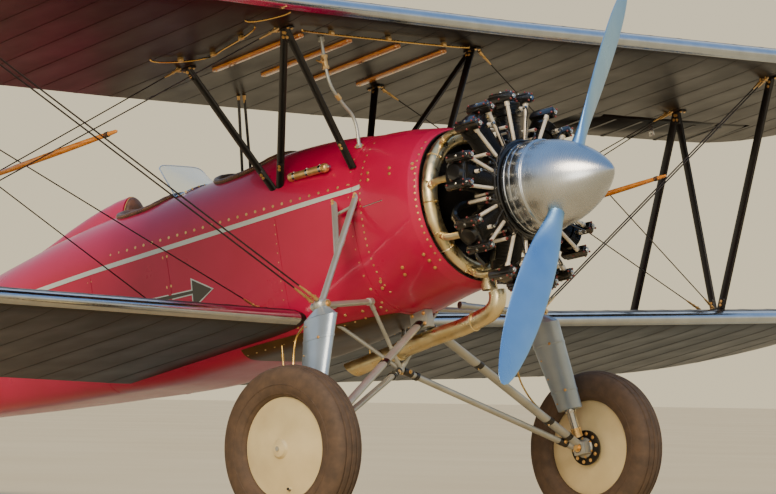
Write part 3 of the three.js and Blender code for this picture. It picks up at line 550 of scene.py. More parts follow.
def between(rows, steps):
    """Rows with smooth in-between rows, through the given ones."""
    out = []
    for i in range(len(rows) - 1):
        p0, p1, p2, p3 = (rows[min(max(j, 0), len(rows) - 1)] for j in (i - 1, i, i + 1, i + 2))
        for k in range(steps):
            t = k / steps
            out.append(tuple(b + t * (c - b) if n == 0 else
                             0.5 * (2 * b + t * (c - a) + t * t * (2 * a - 5 * b + 4 * c - d)
                                    + t ** 3 * (3 * b - a - 3 * c + d))
                             for n, (a, b, c, d) in enumerate(zip(p0, p1, p2, p3))))
    return out + [rows[-1]]


def well_ring(well, inset, z, count=72):
    front, rear, half, _ = well
    return [((front + rear) / 2 + ((front - rear) / 2 - inset) * signed(c, 0.62),
             (half - inset) * signed(s, 0.62), z) for c, s in circle(count, 1)]


def body_skin(rows=SECTIONS, steps=4):
    bm = bmesh.new()
    loft(bm, [hull_ring(row) for row in between(rows, steps)])
    return bm


def rest_skin(bm):
    foot = 480
    loft(bm, [[(x, half * c, foot + (top - foot) * max(s, -0.15)) for c, s in circle(40, 1)]
              for x, half, top in between(HEADREST, 6)])


def bake(obj):
    """Leaves what the modifiers make in the object's mesh."""
    bpy.context.view_layer.update()
    result = bpy.data.meshes.new_from_object(obj.evaluated_get(bpy.context.evaluated_depsgraph_get()))
    obj.modifiers.clear()
    old, obj.data = obj.data, result
    bpy.data.meshes.remove(old)


def shell(obj, bm, operation="DIFFERENCE"):
    """Cuts another shape out of the object, or joins it to it."""
    other = loose("tool", bm)
    tool = obj.modifiers.new("cut", "BOOLEAN")
    tool.object, tool.operation, tool.solver = other, operation, "EXACT"
    bake(obj)
    bpy.data.objects.remove(other)


def hull_row(x):
    rows = NOSE[::-1] if x > -850 else SECTIONS
    for a, b in zip(rows, rows[1:]):
        if a[0] >= x >= b[0]:
            t = (x - a[0]) / (b[0] - a[0])
            return [p + t * (q - p) for p, q in zip(a, b)]
    return list(rows[-1] if x < rows[-1][0] else rows[0])


def side_at(x, z):
    """Half width of the fuselage at a station and height."""
    _, half, low, mid, top, square = hull_row(x)
    if z >= mid:
        return half * max(0, 1 - ((z - mid) / (top - mid)) ** DECK_POWER) ** (1 / DECK_POWER)
    return half * max(0, 1 - ((mid - z) / (mid - low)) ** square) ** (1 / square)


def deck_at(x, y):
    """Height of the deck at a station and distance from the middle."""
    _, half, _, mid, top, _ = hull_row(x)
    return mid + (top - mid) * max(0, 1 - (min(abs(y), half) / half) ** DECK_POWER) ** (1 / DECK_POWER)


def dress_fuselage():
    """The skin, joined to the fairing behind the rear cockpit, with the cockpits cut out and enamelled."""
    obj = piece("fuselage_skin", body_skin(), CRIMSON, LINING, slot="red_paint",
                replaces=["front_fuselage", "rear_fuselage"])
    fairing = bmesh.new()
    rest_skin(fairing)
    shell(obj, fairing, "UNION")
    for well in WELLS:
        hole = bmesh.new()
        loft(hole, [well_ring(well, 0, height) for height in (well[3], 900)])
        shell(obj, hole)
    mesh = obj.data
    for slot in (CRIMSON, LINING)[len(mesh.materials):]:
        mesh.materials.append(slot)
    for face in mesh.polygons:
        point = BACK @ face.center
        if any(rear - 1 < point.x < front + 1 and abs(point.y) < half + 1 for front, rear, half, _ in WELLS):
            face.material_index = int(point.z < deck_at(point.x, point.y) - 8
                                      and (BACK.to_3x3() @ face.normal).z > -0.5 and point.z > -210)
    smooth(obj, 32)


def stripe_line(x):
    return 275 + (x + 779) * (299 - 275) / (-3577 + 779)


def side_strip(name, x_front, x_rear, z_of, width, material, rows=SECTIONS):
    """A strip on the fuselage's sides, following a line."""
    bm = body_skin(rows)
    slab(bm, x_rear, x_front)
    slope = (z_of(x_front) - z_of(x_rear)) / (x_front - x_rear)
    up = Vector((-slope, 0, 1)).normalized()
    middle = Vector((x_front, 0, z_of(x_front)))
    keep(bm, middle + up * width / 2, up)
    keep(bm, middle - up * width / 2, -up)
    raise_skin(bm, 1.6, -1.2)
    piece(name, bm, material)


dress_fuselage()
side_strip("side_stripe", -852, -6200, stripe_line, 28, STRIPE)
side_strip("cowl_stripe", -779, -848, stripe_line, 28, STRIPE, NOSE)


def dress_cowl():
    """The shell round the engine, its inside dark as painted shade, with a rolled lip at the front."""
    obj = piece("nose_cowl_skin", body_skin(NOSE, 5), CRIMSON, DARK_COLOUR_AND_PAINTED_SHADE, slot="red_paint",
                replaces=["nose_cowl"])
    back, axis_z = -505, 84
    hole = turning([(back, 0), (back, 428), (-410, 436), (-340, 438), (-300, 438), (-300, 0)], 96)
    bmesh.ops.translate(hole, vec=(0, 0, axis_z), verts=hole.verts)
    shell(obj, hole)
    mesh = obj.data
    if len(mesh.materials) < 2:
        mesh.materials.append(DARK_COLOUR_AND_PAINTED_SHADE)
    # Faces inside the opening take the dark colour: painted shade behind the cylinders.
    for face in mesh.polygons:
        point = BACK @ face.center
        if point.x > back - 1 and sqrt(point.y ** 2 + (point.z - 80) ** 2) < 440:
            face.material_index = 1
    smooth(obj, 32)
    lip = bmesh.new()
    pipe(lip, hull_ring((-350, 443, -363, 80, 525, 2.05), count=40), 4.5, 12, closed=True)
    piece("cowl_lip", lip, CRIMSON)


dress_cowl()


# Trim on the fuselage's skin
def side_spot(x, z, side):
    """A place on the skin and the way it faces."""
    y = side_at(x, z)
    slope = (side_at(x, z + 4) - side_at(x, z - 4)) / 8
    along = (side_at(x + 20, z) - side_at(x - 20, z)) / 40
    return Vector((x, side * y, z)), Vector((-along, side, -slope)).normalized()


def studs(bm, places, r=6.5):
    """Low domed fastener heads with a ring round each."""
    for point, out in places:
        turn = facing(out)
        bmesh.ops.create_uvsphere(bm, u_segments=10, v_segments=6, radius=r,
                                  matrix=Matrix.Translation(point) @ turn @ Matrix.Diagonal((1, 1, 0.45, 1)))
        bmesh.ops.create_cone(bm, cap_ends=True, segments=12, radius1=r * 1.45, radius2=r * 1.3, depth=1.6,
                              matrix=Matrix.Translation(point + out * 0.4) @ turn)


def dress_fasteners():
    """Rows above the stripe, down the panel joints, behind the cowl and along the belly sheet."""
    spots = [(-885 - 71.5 * k, 314 + (6 - 71.5 * k) * 45 / -1953) for k in range(28)]
    spots += [(-1461 - 2.7 * k, 217 - 54.9 * k) for k in range(9)]
    spots += [(-872, 540 - 76 * k) for k in range(13)]
    spots += [(-905 - 108 * k, -392) for k in range(6)]
    spots += [(x, z) for x in (-2350, -2380, -3010, -3040) for z in (240, 60, -120, -300)]
    bm = bmesh.new()
    studs(bm, [side_spot(x, z, s) for s in (1, -1) for x, z in spots])
    piece("skin_fasteners", bm, BRASS)


def skin_band(name, x_front, x_rear, lift=0.7, low=None, high=None):
    """A lapped strip round the fuselage between two stations."""
    bm = body_skin()
    slab(bm, x_rear, x_front)
    if low is not None:
        keep(bm, (0, 0, low), (0, 0, -1))
    if high is not None:
        keep(bm, (0, 0, high), (0, 0, 1))
    raise_skin(bm, lift, -1.6)
    piece(name, bm, CRIMSON, slot="red_paint")


def flat_patch(bm, corners, side, lift):
    """A flat-sided patch of skin with convex corners (x, z), on one side."""
    skin = body_skin()
    keep(skin, (0, side * 100, 0), (0, -side, 0))
    middle = (sum(c[0] for c in corners) / len(corners), sum(c[1] for c in corners) / len(corners))
    for (x0, z0), (x1, z1) in zip(corners, corners[1:] + corners[:1]):
        out = Vector((z1 - z0, 0, x0 - x1))
        if out.x * (middle[0] - x0) + out.z * (middle[1] - z0) > 0:
            out = -out
        keep(skin, (x0, 0, z0), out)
    raise_skin(skin, lift, -1.5)
    copies(bm, skin)


def dress_arrow():
    """A plain arrow that points forward on each side."""
    bm = bmesh.new()
    for index, grow, lift in ((0, 7, 0.5), (1, 0, 0.9)):
        for s in (1, -1):
            flat_patch(bm, [(-2590 - grow, 22 + grow), (-2180, -6 + grow),
                            (-2180, -24 - grow), (-2590 - grow, -4 - grow)], s, lift)
            flat_patch(bm, [(-2174 - grow * 1.2, 56 + grow * 2), (-2025 + grow * 2, -32),
                            (-2189 - grow * 1.2, -103 - grow * 2)], s, lift + 0.1)
        tint(bm, index)
    piece("side_arrow", bm, STRIPE, BLACK)


def dress_cowl_trim():
    """Catches in pairs, a row of studs along the cowl's rear seam and another behind its front lip."""
    bm = bmesh.new()
    for s in (1, -1):
        for x, z in ((-718, 342), (-710, 298), (-547, 328), (-540, 292), (-388, 313), (-382, 282),
                     (-599, -234), (-614, -271), (-427, -200), (-418, -236), (-418, -275), (-784, -273),
                     (-799, -306)):
            point, out = side_spot(x, z, s)
            bar(bm, point - out * 3, point + out * 3, 11, 10, sides=16)
            bolt(bm, point + out * 3, out, 6)
    piece("cowl_catches", bm, BRASS)
    bm = bmesh.new()
    rows = (-775, 540, 24), (-366, 440, 19)
    studs(bm, [side_spot(x, high - 38 * k, s) for s in (1, -1) for x, high, count in rows
               for k in range(count)], 5)
    piece("cowl_fasteners", bm, BRASS)
    bm = bmesh.new()
    for s in (1, -1):
        a, b = (side_spot(x, 150, s)[0] for x in (-752, -592))
        bar(bm, a, b, 4, sides=12)
    piece("cowl_hinge", bm, STEEL)


def dress_belly_sheet():
    bm = body_skin()
    slab(bm, -1900, -880)
    keep(bm, (0, 0, -424), (0, 0, 1))
    raise_skin(bm, 1.2, -2)
    mark(bm)
    for s in (1, -1):
        for x in range(-900, -1950, -70):
            z = hull_row(x)[2] + 26
            bar(bm, (x, s * (side_at(x, z) - 2), z), (x, s * (side_at(x, z) + 4), z - 2), 6, sides=8)
    tint(bm, 1)
    # The sheet's brown is a painted reflection of the sunlit ground.
    piece("belly_sheet", bm, GROUND_REFLECTION_SHEET, BRASS, slot="polished_metal", angle=30)


# Bare aluminium sheet whose brown is a painted reflection of the sunlit ground.
GROUND_REFLECTION_SHEET = painted("aluminium sheet, brown as painted ground reflection", "#6b5030", "#543e22", 0.34, 0.0, grain=0.2, metal=0.7)
dress_fasteners()
skin_band("fuselage_joint_strip", -852, -892)
skin_band("panel_joint_strip", -1452, -1500, 0.6, -400, 250)
skin_band("rear_panel_strip", -2352, -2378, 0.6, -460, 260)
skin_band("baggage_panel_strip", -3012, -3038, 0.6, -440, 260)
dress_arrow()
dress_cowl_trim()
dress_belly_sheet()


# Engine, drawn about its own shaft
def around(count, start=0.0):
    return [Matrix.Rotation(start + 2 * pi * k / count, 4, "X") for k in range(count)]


def fins(low, high, pitch, core, rim):
    """Rows of (height, radius) for a stack of cooling fins."""
    rows, z, leaf = [], low, 3.0
    while z + leaf <= high:
        rows += [(z, core), (z, rim - 1), (z + leaf / 2, rim), (z + leaf, rim - 1), (z + leaf, core)]
        z += pitch
    return rows


UPRIGHT = Matrix.Rotation(-pi / 2, 4, "Y")
PLANE = -12  # the cylinders' axes stand this far from the engine's own zero


def cylinder_unit():
    """One cylinder on +Z, with its rocker boxes, push-rod tubes, plug, lead and studs."""
    bm = bmesh.new()
    rows = [(262, 0), (262, 84), (272, 84), (272, 66)] + fins(282, 430, 8.5, 56, 74)
    rows += [(434, 60)] + fins(438, 512, 9, 62, 85) + [(516, 56), (532, 44), (540, 0)]
    column = turning(rows, 28)
    copies(bm, column, [Matrix.Translation((PLANE, 0, 0)) @ UPRIGHT])
    for y in (-80, 80):
        block(bm, (-57, y - 24, 503), (112, y + 24, 548), 9)
        block(bm, (-48, y - 20, 542), (102, y + 20, 561), 7)
        bar(bm, (108, y, 528), (120, y, 528), 19, 16, sides=20)
        block(bm, (-20, min(y, 0), 470), (50, max(y, 0), 516), 10)
    block(bm, (-74, -25, 444), (-30, 25, 492), 6)
    mark(bm)
    for y in (-1, 1):
        for x, z in ((-46, 552), (96, 552), (26, 561)):
            bolt(bm, (x, y * 80, z), (0, 0, 1), 6)
        bolt(bm, (119, y * 80, 528), (1, 0, 0), 8)
    for x, y in circle(10, 75):
        bolt(bm, (PLANE + x, y, 273), (0, 0, 1), 6)
    bar(bm, (62, 0, 452), (96, 0, 458), 13, sides=6)
    bar(bm, (112, 0, 459), (134, 0, 466), 8, sides=10)
    tint(bm, 1)
    pipe(bm, [(132, 0, 465), (136, 3, 448), (118, 10, 390), (98, 16, 320), (90, 18, 286)], 4.5, 8)
    mark(bm)
    for y in (-1, 1):
        bar(bm, (58, y * 46, 256), (68, y * 84, 508), 11, sides=16)
        bar(bm, (57, y * 45.5, 252), (60, y * 50, 284), 16, sides=14)
        bar(bm, (66, y * 80, 482), (68, y * 84, 506), 15, sides=14)
    bar(bm, (88, 0, 463), (110, 0, 459), 11, sides=12)
    tint(bm, 2)
    for y in (-1, 1):
        for x, out, z in ((84, 14, 562), (84, -14, 562), (-34, 0, 564), (112, 20, 512), (112, -20, 512),
                          (120, 0, 548), (30, 26, 522), (30, -26, 522)):
            ball(bm, (x, y * 80 + out, z), 6.5, 8)
    tint(bm, 3)
    return bm


def between_unit():
    """What fills the gap between two cylinders: inlet pipe, tie tubes, sleeved leads and caps."""
    bm = bmesh.new()
    block(bm, (-66, -18, 288), (70, 18, 304), 5)
    pipe(bm, [(-150, 0, 232), (-166, -6, 320), (-152, -46, 400), (-104, -92, 448)], 21, 12)
    mark(bm)
    for y in (-44, 0, 44):
        bolt(bm, (80, y, 276), (1, 0, 0), 6)
    for x in (-40, 40):
        bolt(bm, (x, 0, 304), (0, 0, 1), 6)
    tint(bm, 1)
    bar(bm, (-50, 0, 375), (76, 0, 375), 10.5, sides=14)
    bar(bm, (-30, 26, 338), (60, 26, 338), 7, sides=10)
    tint(bm, 2)
    pipe(bm, [(90, -34, 288), (98, -24, 320), (82, -8, 352), (40, 0, 366)], 4.5, 8)
    mark(bm)
    for x, y, r in ((80, 0, 375), (56, 26, 340), (-54, 0, 375), (20, -20, 312)):
        ball(bm, (x, y, r), 9, 8)
    tint(bm, 3)
    return bm


def dress_engine():
    bm = bmesh.new()
    turned(bm, [(-505, 0), (-505, 205), (-480, 214), (-260, 226), (-130, 250), (-86, 284), (-72, 292),
                (74, 292), (82, 288), (88, 270), (90, 200), (90, 0)], 72)
    unit = cylinder_unit()
    copies(bm, unit, around(9))
    unit = between_unit()
    copies(bm, unit, around(9, pi / 9))
    hoop(bm, 90, 280, 6, 24, 10)
    mark(bm)
    bar(bm, (80, 0, 0), (188, 0, 0), 40, sides=32)
    tint(bm, 1)
    block(bm, (-215, -62, -405), (-120, 62, -225), 16)
    for y in (-26, 26):
        bar(bm, (-166, y, -400), (-176, y, -492), 21, sides=20)
        bar(bm, (-168, y, -432), (-169, y, -446), 26, sides=20)
    mark(bm)
    for y in (-46, 46):
        for z in (-388, -244):
            bolt(bm, (-120, y, z), (1, 0, 0), 7)
    tint(bm, 1)
    piece("radial_engine", bm, BLACK, STEEL, TUBE, REDCAP, place=ENGINE, slot="engine_iron",
          replaces=["engine"])


dress_engine()


def dress_exhaust():
    """The collector ring, a stub from each cylinder, a clamp beside each stub and the outlet below."""
    back, rim, tube = -318, 388, 47
    bm = bmesh.new()
    hoop(bm, back, rim, tube, 72, 24)
    unit = bmesh.new()
    pipe(unit, [(back, 0, 392), (-262, 0, 430), (-195, 0, 464), (-80, 0, 470)], 20, 16)
    bar(unit, (-88, 0, 470), (-74.5, 0, 470), 27, sides=24)
    bar(unit, (-252, 0, 436), (-238, 0, 444), 25, sides=20)
    bar(unit, (-296, 24, 392), (-296, 24, 444), 6, sides=8)
    copies(bm, unit, around(9))
    clamp = bmesh.new()
    pipe(clamp, [(back + x, 0, rim + z) for x, z in circle(16, tube + 1)], 4, 6, closed=True)
    bolt(clamp, (-266, 0, 392), (1, 0, 0), 6)
    copies(bm, clamp, around(9, pi / 9 * 0.6))
    bar(bm, (back, 30, -394), (-307, 35, -500), 46, sides=32)
    keep(bm, (0, 0, -499.5), (0, 0, -1))
    piece("exhaust_ring", bm, HEATED, place=ENGINE, slot="heated_steel", replaces=["exhaust_collector"])


dress_exhaust()


def dress_tailpipe():
    """The pipe under the belly, cut on the slant behind, with two clamps."""
    bm = bmesh.new()
    pipe(bm, [(-288, 36, -430.5), (-286, 36, -455), (-320, 34, -520), (-450, 26, -562), (-800, 8, -592),
              (-1120, 0, -620), (-1480, -12, -650)], 50, 32)
    keep(bm, (-1405, 0, -650), Matrix.Rotation(-0.7, 3, "Y") @ Vector((-1, 0, 0)))
    bmesh.ops.delete(bm, geom=[f for f in bm.faces if abs(f.normal.z) > 0.99 and f.calc_area() > 3000],
                     context="FACES_ONLY")
    for x, y, z in ((-470, 25, -563.5), (-1030, 2, -612)):
        pipe(bm, [(x + 0.09 * up, y + across, z + up) for across, up in circle(20, 54)], 4.5, 8, closed=True)
    piece("tailpipe_shell", bm, HEATED, slot="heated_steel", replaces=["tailpipe"])


dress_tailpipe()


# Propeller
PROP_TURN = ENGINE @ Matrix.Rotation(radians(-33.5), 4, "X")


def dress_spinner():
    bm = turning([(100, 0), (96, 60), (96, 252), (99, 261), (119, 263), (122, 260), (125, 263), (160, 264.5),
                  (163, 263), (166, 264.5), (200, 264), (228, 262.5), (232, 261), (234, 256), (238, 253.5),
                  (244, 252), (282, 248), (320, 242), (365, 230.5), (410, 216), (455, 197), (500, 175),
                  (541, 150.5), (580, 124), (612, 98), (640, 73), (661, 51), (678, 31), (686, 18.5), (691, 9),
                  (694, 0)], 96)
    mark(bm)
    for x, r in ((109, 261), (215, 262)):
        for y, z in circle(24, r, pi / 24):
            bmesh.ops.create_uvsphere(bm, u_segments=8, v_segments=5, radius=3.6,
                                      matrix=Matrix.Translation((x, y, z)))
    tint(bm, 1)
    piece("spinner_cone", bm, SPUN, STEEL, body="propeller", place=PROP_TURN, slot="polished_metal",
          replaces=["spinner"], angle=50)


dress_spinner()
BLADE_X = 358
# Radius, chord, thickness, angle to the disc in degrees
BLADE_ROWS = [
    (150, 84, 84, 40), (262, 98, 76, 34), (330, 122, 60, 31), (430, 160, 42, 29), (560, 192, 30, 27.5),
    (700, 210, 23, 25.5), (850, 213, 18, 23.5), (1000, 202, 14, 21), (1130, 178, 11, 18.5),
    (1240, 142, 8, 16.5), (1320, 102, 6, 15.5), (1365, 64, 5, 15), (1384, 24, 4, 15),
]


def dress_blades():
    """Oval sections, turned to their pitch and set in the middle of the spinner."""
    for name, half in (("upper", 0), ("lower", pi)):
        bm = bmesh.new()
        rings = []
        for r, chord, thick, angle in between(BLADE_ROWS, 4):
            c, s = cos(radians(angle)), sin(radians(angle))
            oval = [(chord / 2 * u, thick / 2 * v) for u, v in circle(32, 1)]
            rings.append([(BLADE_X + u * s + v * c, v * s - u * c, r) for u, v in oval])
        loft(bm, rings)
        keep(bm, (0, 0, 200), (0, 0, -1))
        piece(f"propeller_blade_{name}", bm, BLADE, body="propeller", place=PROP_TURN
              @ Matrix.Rotation(half, 4, "X"), slot="polished_metal", replaces=[f"blade_{name}"], angle=60)


dress_blades()


# Wheels
TREAD = [(12, 456), (15, 448), (21, 448), (24, 454.5), (30, 453.5), (48, 449.5), (51, 441), (57, 441),
         (60, 446.5), (66, 445), (80, 434), (91, 416), (98, 392), (100.5, 362), (97, 332), (88, 304),
         (72, 286), (60, 282)]


def facing_out(s, point):
    """The place of a part that turns about Y, its own X outwards on that side."""
    return Matrix.Translation(mirrored(s, point)) @ Matrix.Rotation(s * pi / 2, 4, "Z")


def round_tyre(rows, crown=()):
    """A tyre's section from the rows of its outer half, which go from the tread to the bead."""
    return [(-x, r) for x, r in rows[::-1]] + [*crown] + rows


def dress_wheels():
    """Balloon tyres with grooved treads on wheels with domed sheet covers."""
    for side, s in SIDES:
        place = BODY @ facing_out(s, WHEEL)
        section = round_tyre(TREAD, [(0, 457)])
        bm = turning(section + section[:1], 128)
        for x, r in ((-99.5, 348), (-86, 300), (86, 300), (99.5, 348)):
            hoop(bm, x, r, 2.2, 48, 6)
        piece(f"tyre_casing_{side}", bm, RUBBER, body=f"main_wheel_{side}", place=place, slot="tyre_rubber",
              replaces=[f"tyre_{side}"], angle=30)
        bm = turning([(-78, 25), (-78, 52), (-68, 62), (-62, 120), (-54, 270), (-50, 281), (50, 281),
                      (56, 283), (62, 280), (63, 266), (67, 240), (76, 200), (85, 150), (93, 90), (97, 56),
                      (104, 52), (110, 46), (114, 44), (116, 34), (118, 30), (118, 0)], 96)
        mark(bm)
        bar(bm, (116, 0, 0), (124, 0, 0), 14, sides=6)
        bar(bm, (66, 0, -226), (82, 0, -222), 11, 8, sides=16)
        tint(bm, 1)
        bar(bm, (80, 0, -222), (88, 0, -221), 6, sides=10)
        tint(bm, 2)
        piece(f"wheel_cover_{side}", bm, CREAM, STEEL, DARK, body=f"main_wheel_{side}", place=place,
              slot="cream_disc", replaces=[f"wheel_disc_{side}"], angle=40)


dress_wheels()


# Wings: distance from the leading edge, upper and lower height, as shares of the chord
SECTION = [
    (0.012, 0.056, 0.018), (0.04, 0.074, 0.009), (0.1, 0.095, 0.003), (0.2, 0.112, 0), (0.32, 0.116, 0),
    (0.46, 0.108, 0), (0.62, 0.087, 0), (0.78, 0.056, 0), (0.9, 0.028, 0), (1, 0.005, 0),
]
PROFILE = [(f, 0.034 + 0.022 * sqrt(f / 0.012), 0.034 - 0.016 * sqrt(f / 0.012))
           for f in (0, 0.0006, 0.0022, 0.0048, 0.008)] + between(SECTION, 3)
# Span station, leading edge, trailing edge and lift of the under side towards the tip
UPPER["plan"] = [(0, -525, -2191, 0), (4200, -525, -2191, 0)] + between([
    (4500, -525, -2191, 0), (4880, -528, -2180, 3), (5130, -540, -2132, 8), (5340, -566, -2046, 16),
    (5520, -618, -1930, 27), (5660, -706, -1782, 40), (5750, -826, -1616, 54), (5788, -980, -1440, 68)], 4)
LOWER["plan"] = [(300, -1356, -2825, 0), (4000, -1356, -2825, 0)] + between([
    (4200, -1356, -2825, 0), (4500, -1358, -2772, 3), (4740, -1366, -2680, 8),
    (4950, -1386, -2556, 16), (5130, -1426, -2412, 26), (5280, -1492, -2254, 38),
    (5390, -1592, -2090, 52), (5440, -1710, -1930, 64)], 4)
RIB = 290
TAPE_HALF = 17
TIPS = (5580, 5640, 5680, 5715, 5745, 5770, 5788), (5240, 5300, 5340, 5375, 5405, 5425, 5440)
BAY = dict(x=-1754, inner=3012, outer=4868)


def plan_at(wing, y):
    rows = wing["plan"]
    for a, b in zip(rows, rows[1:]):
        if abs(y) <= b[0]:
            t = (abs(y) - a[0]) / (b[0] - a[0])
            return [p + t * (q - p) for p, q in zip(a[1:], b[1:])]
    return rows[-1][1:]


def wing_ring(wing, y, grow=0.0):
    """The section at a span station, from the leading edge over the top and back, moved out by grow."""
    lead, trail, lift = plan_at(wing, y)
    chord = lead - trail

    def spot(share, height):
        x = lead - share * chord
        return (x, y, under(wing, x, y) + lift + height * chord)

    ring = [spot(f, u) for f, u, _ in PROFILE] + [spot(f, low) for f, _, low in reversed(PROFILE[1:])]
    moved = []
    for k, (x, y, z) in enumerate(ring):
        a, b = ring[k - 1], ring[(k + 1) % len(ring)]
        run, rise = a[0] - b[0], b[2] - a[2]
        size = sqrt(run * run + rise * rise)
        push = grow(share=(lead - x) / chord) if callable(grow) else grow
        moved.append((x + push * rise / size, y, z + push * run / size))
    return moved


def slack(depth):
    """Doped fabric drawn in between the ribs, but not over the plywood nose or at the trailing edge."""
    return lambda share: -depth * min(1, max(0, (share - 0.06) * 8)) * min(1, max(0, (0.98 - share) * 12))


def ribs(low, high):
    return [k * RIB for k in range(-20, 21) if low <= k * RIB <= high]


def stations(low, high, ends):
    """Span stations with their slack: ribs, three places between each pair of ribs, and the curved tips."""
    out = {}
    for rib in ribs(-6000, 6000):
        for step, depth in ((0, 0), (72, 1.7), (145, 2.4), (218, 1.7)):
            if low <= rib + step <= high:
                out[rib + step] = depth
    for y in ends:
        out[y] = 0
    return sorted(out.items())


def closing(ring, y, share):
    """A smaller ring that rounds off a tip."""
    middle = sum((Vector(p) for p in ring), Vector()) / len(ring)
    return [(middle.x + (p[0] - middle.x) * (1 - (1 - share) * 0.12), y, middle.z + (p[2] - middle.z) * share)
            for p in ring]


def wing_skin(wing, low, high, ends):
    bm = bmesh.new()
    rings = [wing_ring(wing, y, slack(depth)) for y, depth in stations(low, high, ends)]
    tip = TIPS[wing is LOWER][-1]
    for end in (0, -1):
        y = rings[end][0][1]
        if abs(abs(y) - tip) < 1:
            side = 1 if y > 0 else -1
            extra = [closing(rings[end], y + side * 5, 0.72), closing(rings[end], y + side * 8, 0.3)]
            rings = rings + extra if end else extra[::-1] + rings
    loft(bm, rings)
    return bm


def tape_strips(bm, wing, places):
    """Tapes doped over each rib, standing a little off the fabric."""
    for y in places:
        strip = bmesh.new()
        loft(strip, [wing_ring(wing, y + step, 0.9) for step in (-TAPE_HALF, TAPE_HALF)])
        if wing is UPPER and BAY["inner"] < abs(y) < BAY["outer"]:
            keep(strip, (BAY["x"] + 2, 0, 0), (-1, 0, 0), cap=True)
        copies(bm, strip)


def edge_sheet(bm, wing, places):
    """Bright metal sheet wrapped over the leading edge."""
    count = sum(row[0] <= 0.034 for row in PROFILE)
    for a, b in zip(places, places[1:]):
        rings = []
        for k in range(5):
            outer, inner = (wing_ring(wing, a + (b - a) * k / 4, grow) for grow in (1.6, -1.0))
            band, back = (ring[1 - count:] + ring[:count] for ring in (outer, inner))
            rings.append(band + back[::-1])
        loft(bm, rings)


def wing_screws(bm, wing, places):
    """A row of small screws above and below, near the rear edge of that sheet."""
    share = 0.026
    top, low = [row for row in PROFILE if row[0] <= share][-1][1:]
    for y in places:
        lead, trail, lift = plan_at(wing, y)
        x = lead - share * (lead - trail)
        for height, side in ((top, 1), (low, -1)):
            z = under(wing, x, y) + lift + height * (lead - trail)
            bar(bm, (x, y, z - 1), (x, y, z + side * 3.2), 4.5, sides=8)


def dress_upper_wing():
    tips = [s * y for s in (-1, 1) for y in TIPS[0]]
    obj = piece("upper_wing_skin", wing_skin(UPPER, -5540, 5540, tips), DOPE, slot="black_dope",
                replaces=["upper_wing"], angle=40)
    for s in (1, -1):
        bay = bmesh.new()
        ends = sorted((s * BAY["inner"], s * BAY["outer"]))
        block(bay, (-2400, ends[0], 1000), (BAY["x"], ends[1], 1500))
        shell(obj, bay)
    smooth(obj, 40)
    bm = bmesh.new()
    tape_strips(bm, UPPER, ribs(-5400, 5400))
    piece("upper_wing_tapes", bm, TAPE, slot="black_dope", angle=40)
    bm = bmesh.new()
    edge_sheet(bm, UPPER, [-5350] + [k * 870 for k in range(-6, 7)] + [5350])
    mark(bm)
    wing_screws(bm, UPPER, [k * 72.5 for k in range(-73, 74)])
    tint(bm, 1)
    piece("upper_wing_edge_sheet", bm, ALUMINIUM, STEEL, slot="polished_metal", angle=40)
    bm = bmesh.new()
    for s in (1, -1):
        for y in (3300, 4560):
            z = under(UPPER, -1812, y) + 56
            block(bm, (-1820, s * y - 7, z - 6), (-1742, s * y + 7, z + 6), 2)
            bar(bm, (-1812, s * y - 7, z), (-1812, s * y + 7, z), 8, sides=16)
            bar(bm, (-1812, s * y - 24, z), (-1812, s * y + 24, z), 5, sides=12)
    piece("aileron_hinges", bm, STEEL, slot="silver_steel")


def dress_battens():
    """Round-ended battens under the centre section, edges rounded, with their screws."""
    front, rear, half = -862, -1582, 27
    places = (-625, -212, 212, 625)
    bm = bmesh.new()
    for y in places:
        rings = []
        for drop, grow in ((3, 0), (-10, 0), (-13, -1.2), (-14, -4)):
            outline = [((front - half if u > 0 else rear + half) + u, y + v)
                       for u, v in circle(40, half + grow, pi / 40)]
            rings.append([(x, v, under(UPPER, x, y) + drop) for x, v in outline])
        loft(bm, rings)
    mark(bm)
    for y in places:
        for k in range(6):
            x = -885 - k * 134.8
            z = under(UPPER, x, y) - 14
            bar(bm, (x, y, z + 2), (x, y, z - 2.5), 7, sides=12)
    tint(bm, 1)
    piece("centre_section_battens", bm, SPRUCE, BRASS, slot="varnished_wood", angle=40)


def dress_lower_wings():
    for side, s in SIDES:
        edge = sorted((s * 396, s * 5180))
        tips = [s * y for y in TIPS[1]] + [s * 396]
        piece(f"lower_wing_skin_{side}", wing_skin(LOWER, *edge, tips), DOPE, slot="black_dope", angle=40,
              replaces=[f"lower_wing_{side}"])
        bm = bmesh.new()
        tape_strips(bm, LOWER, ribs(*sorted((s * 500, s * 5100))))
        piece(f"lower_wing_tapes_{side}", bm, TAPE, slot="black_dope", angle=40)
        bm = bmesh.new()
        edge_sheet(bm, LOWER, sorted([s * 440, s * 1160, s * 2030, s * 2900, s * 3770, s * 4640, s * 5020]))
        mark(bm)
        wing_screws(bm, LOWER, [s * (500 + 72.5 * k) for k in range(62)])
        tint(bm, 1)
        piece(f"lower_wing_edge_sheet_{side}", bm, ALUMINIUM, STEEL, slot="polished_metal", angle=40)


dress_upper_wing()
dress_battens()
dress_lower_wings()


# Struts and wires
SPARS = (-815, -1606)
CABANE_Y, STRUT_Y, WIRE_Y = 820, 3850, 3770


def cuff(bm, a, b, chord, thick, length):
    """A fork end over the end of a strut at a, with two bolts across it."""
    run = (b - a).normalized()
    for start, stop, end in ((0, length, 1), (length, length + 10, 0.9)):
        blade_strut(bm, a + run * start, a + run * stop, chord * 0.86, thick + 9, end)
    mark(bm)
    side = run.cross(Vector((1, 0, 0))).normalized()
    for share in (0.3, 0.75):
        for way in (side, -side):
            bolt(bm, a + run * length * share + way * (thick / 2 + 4), way, 6.5)
    tint(bm, 1)


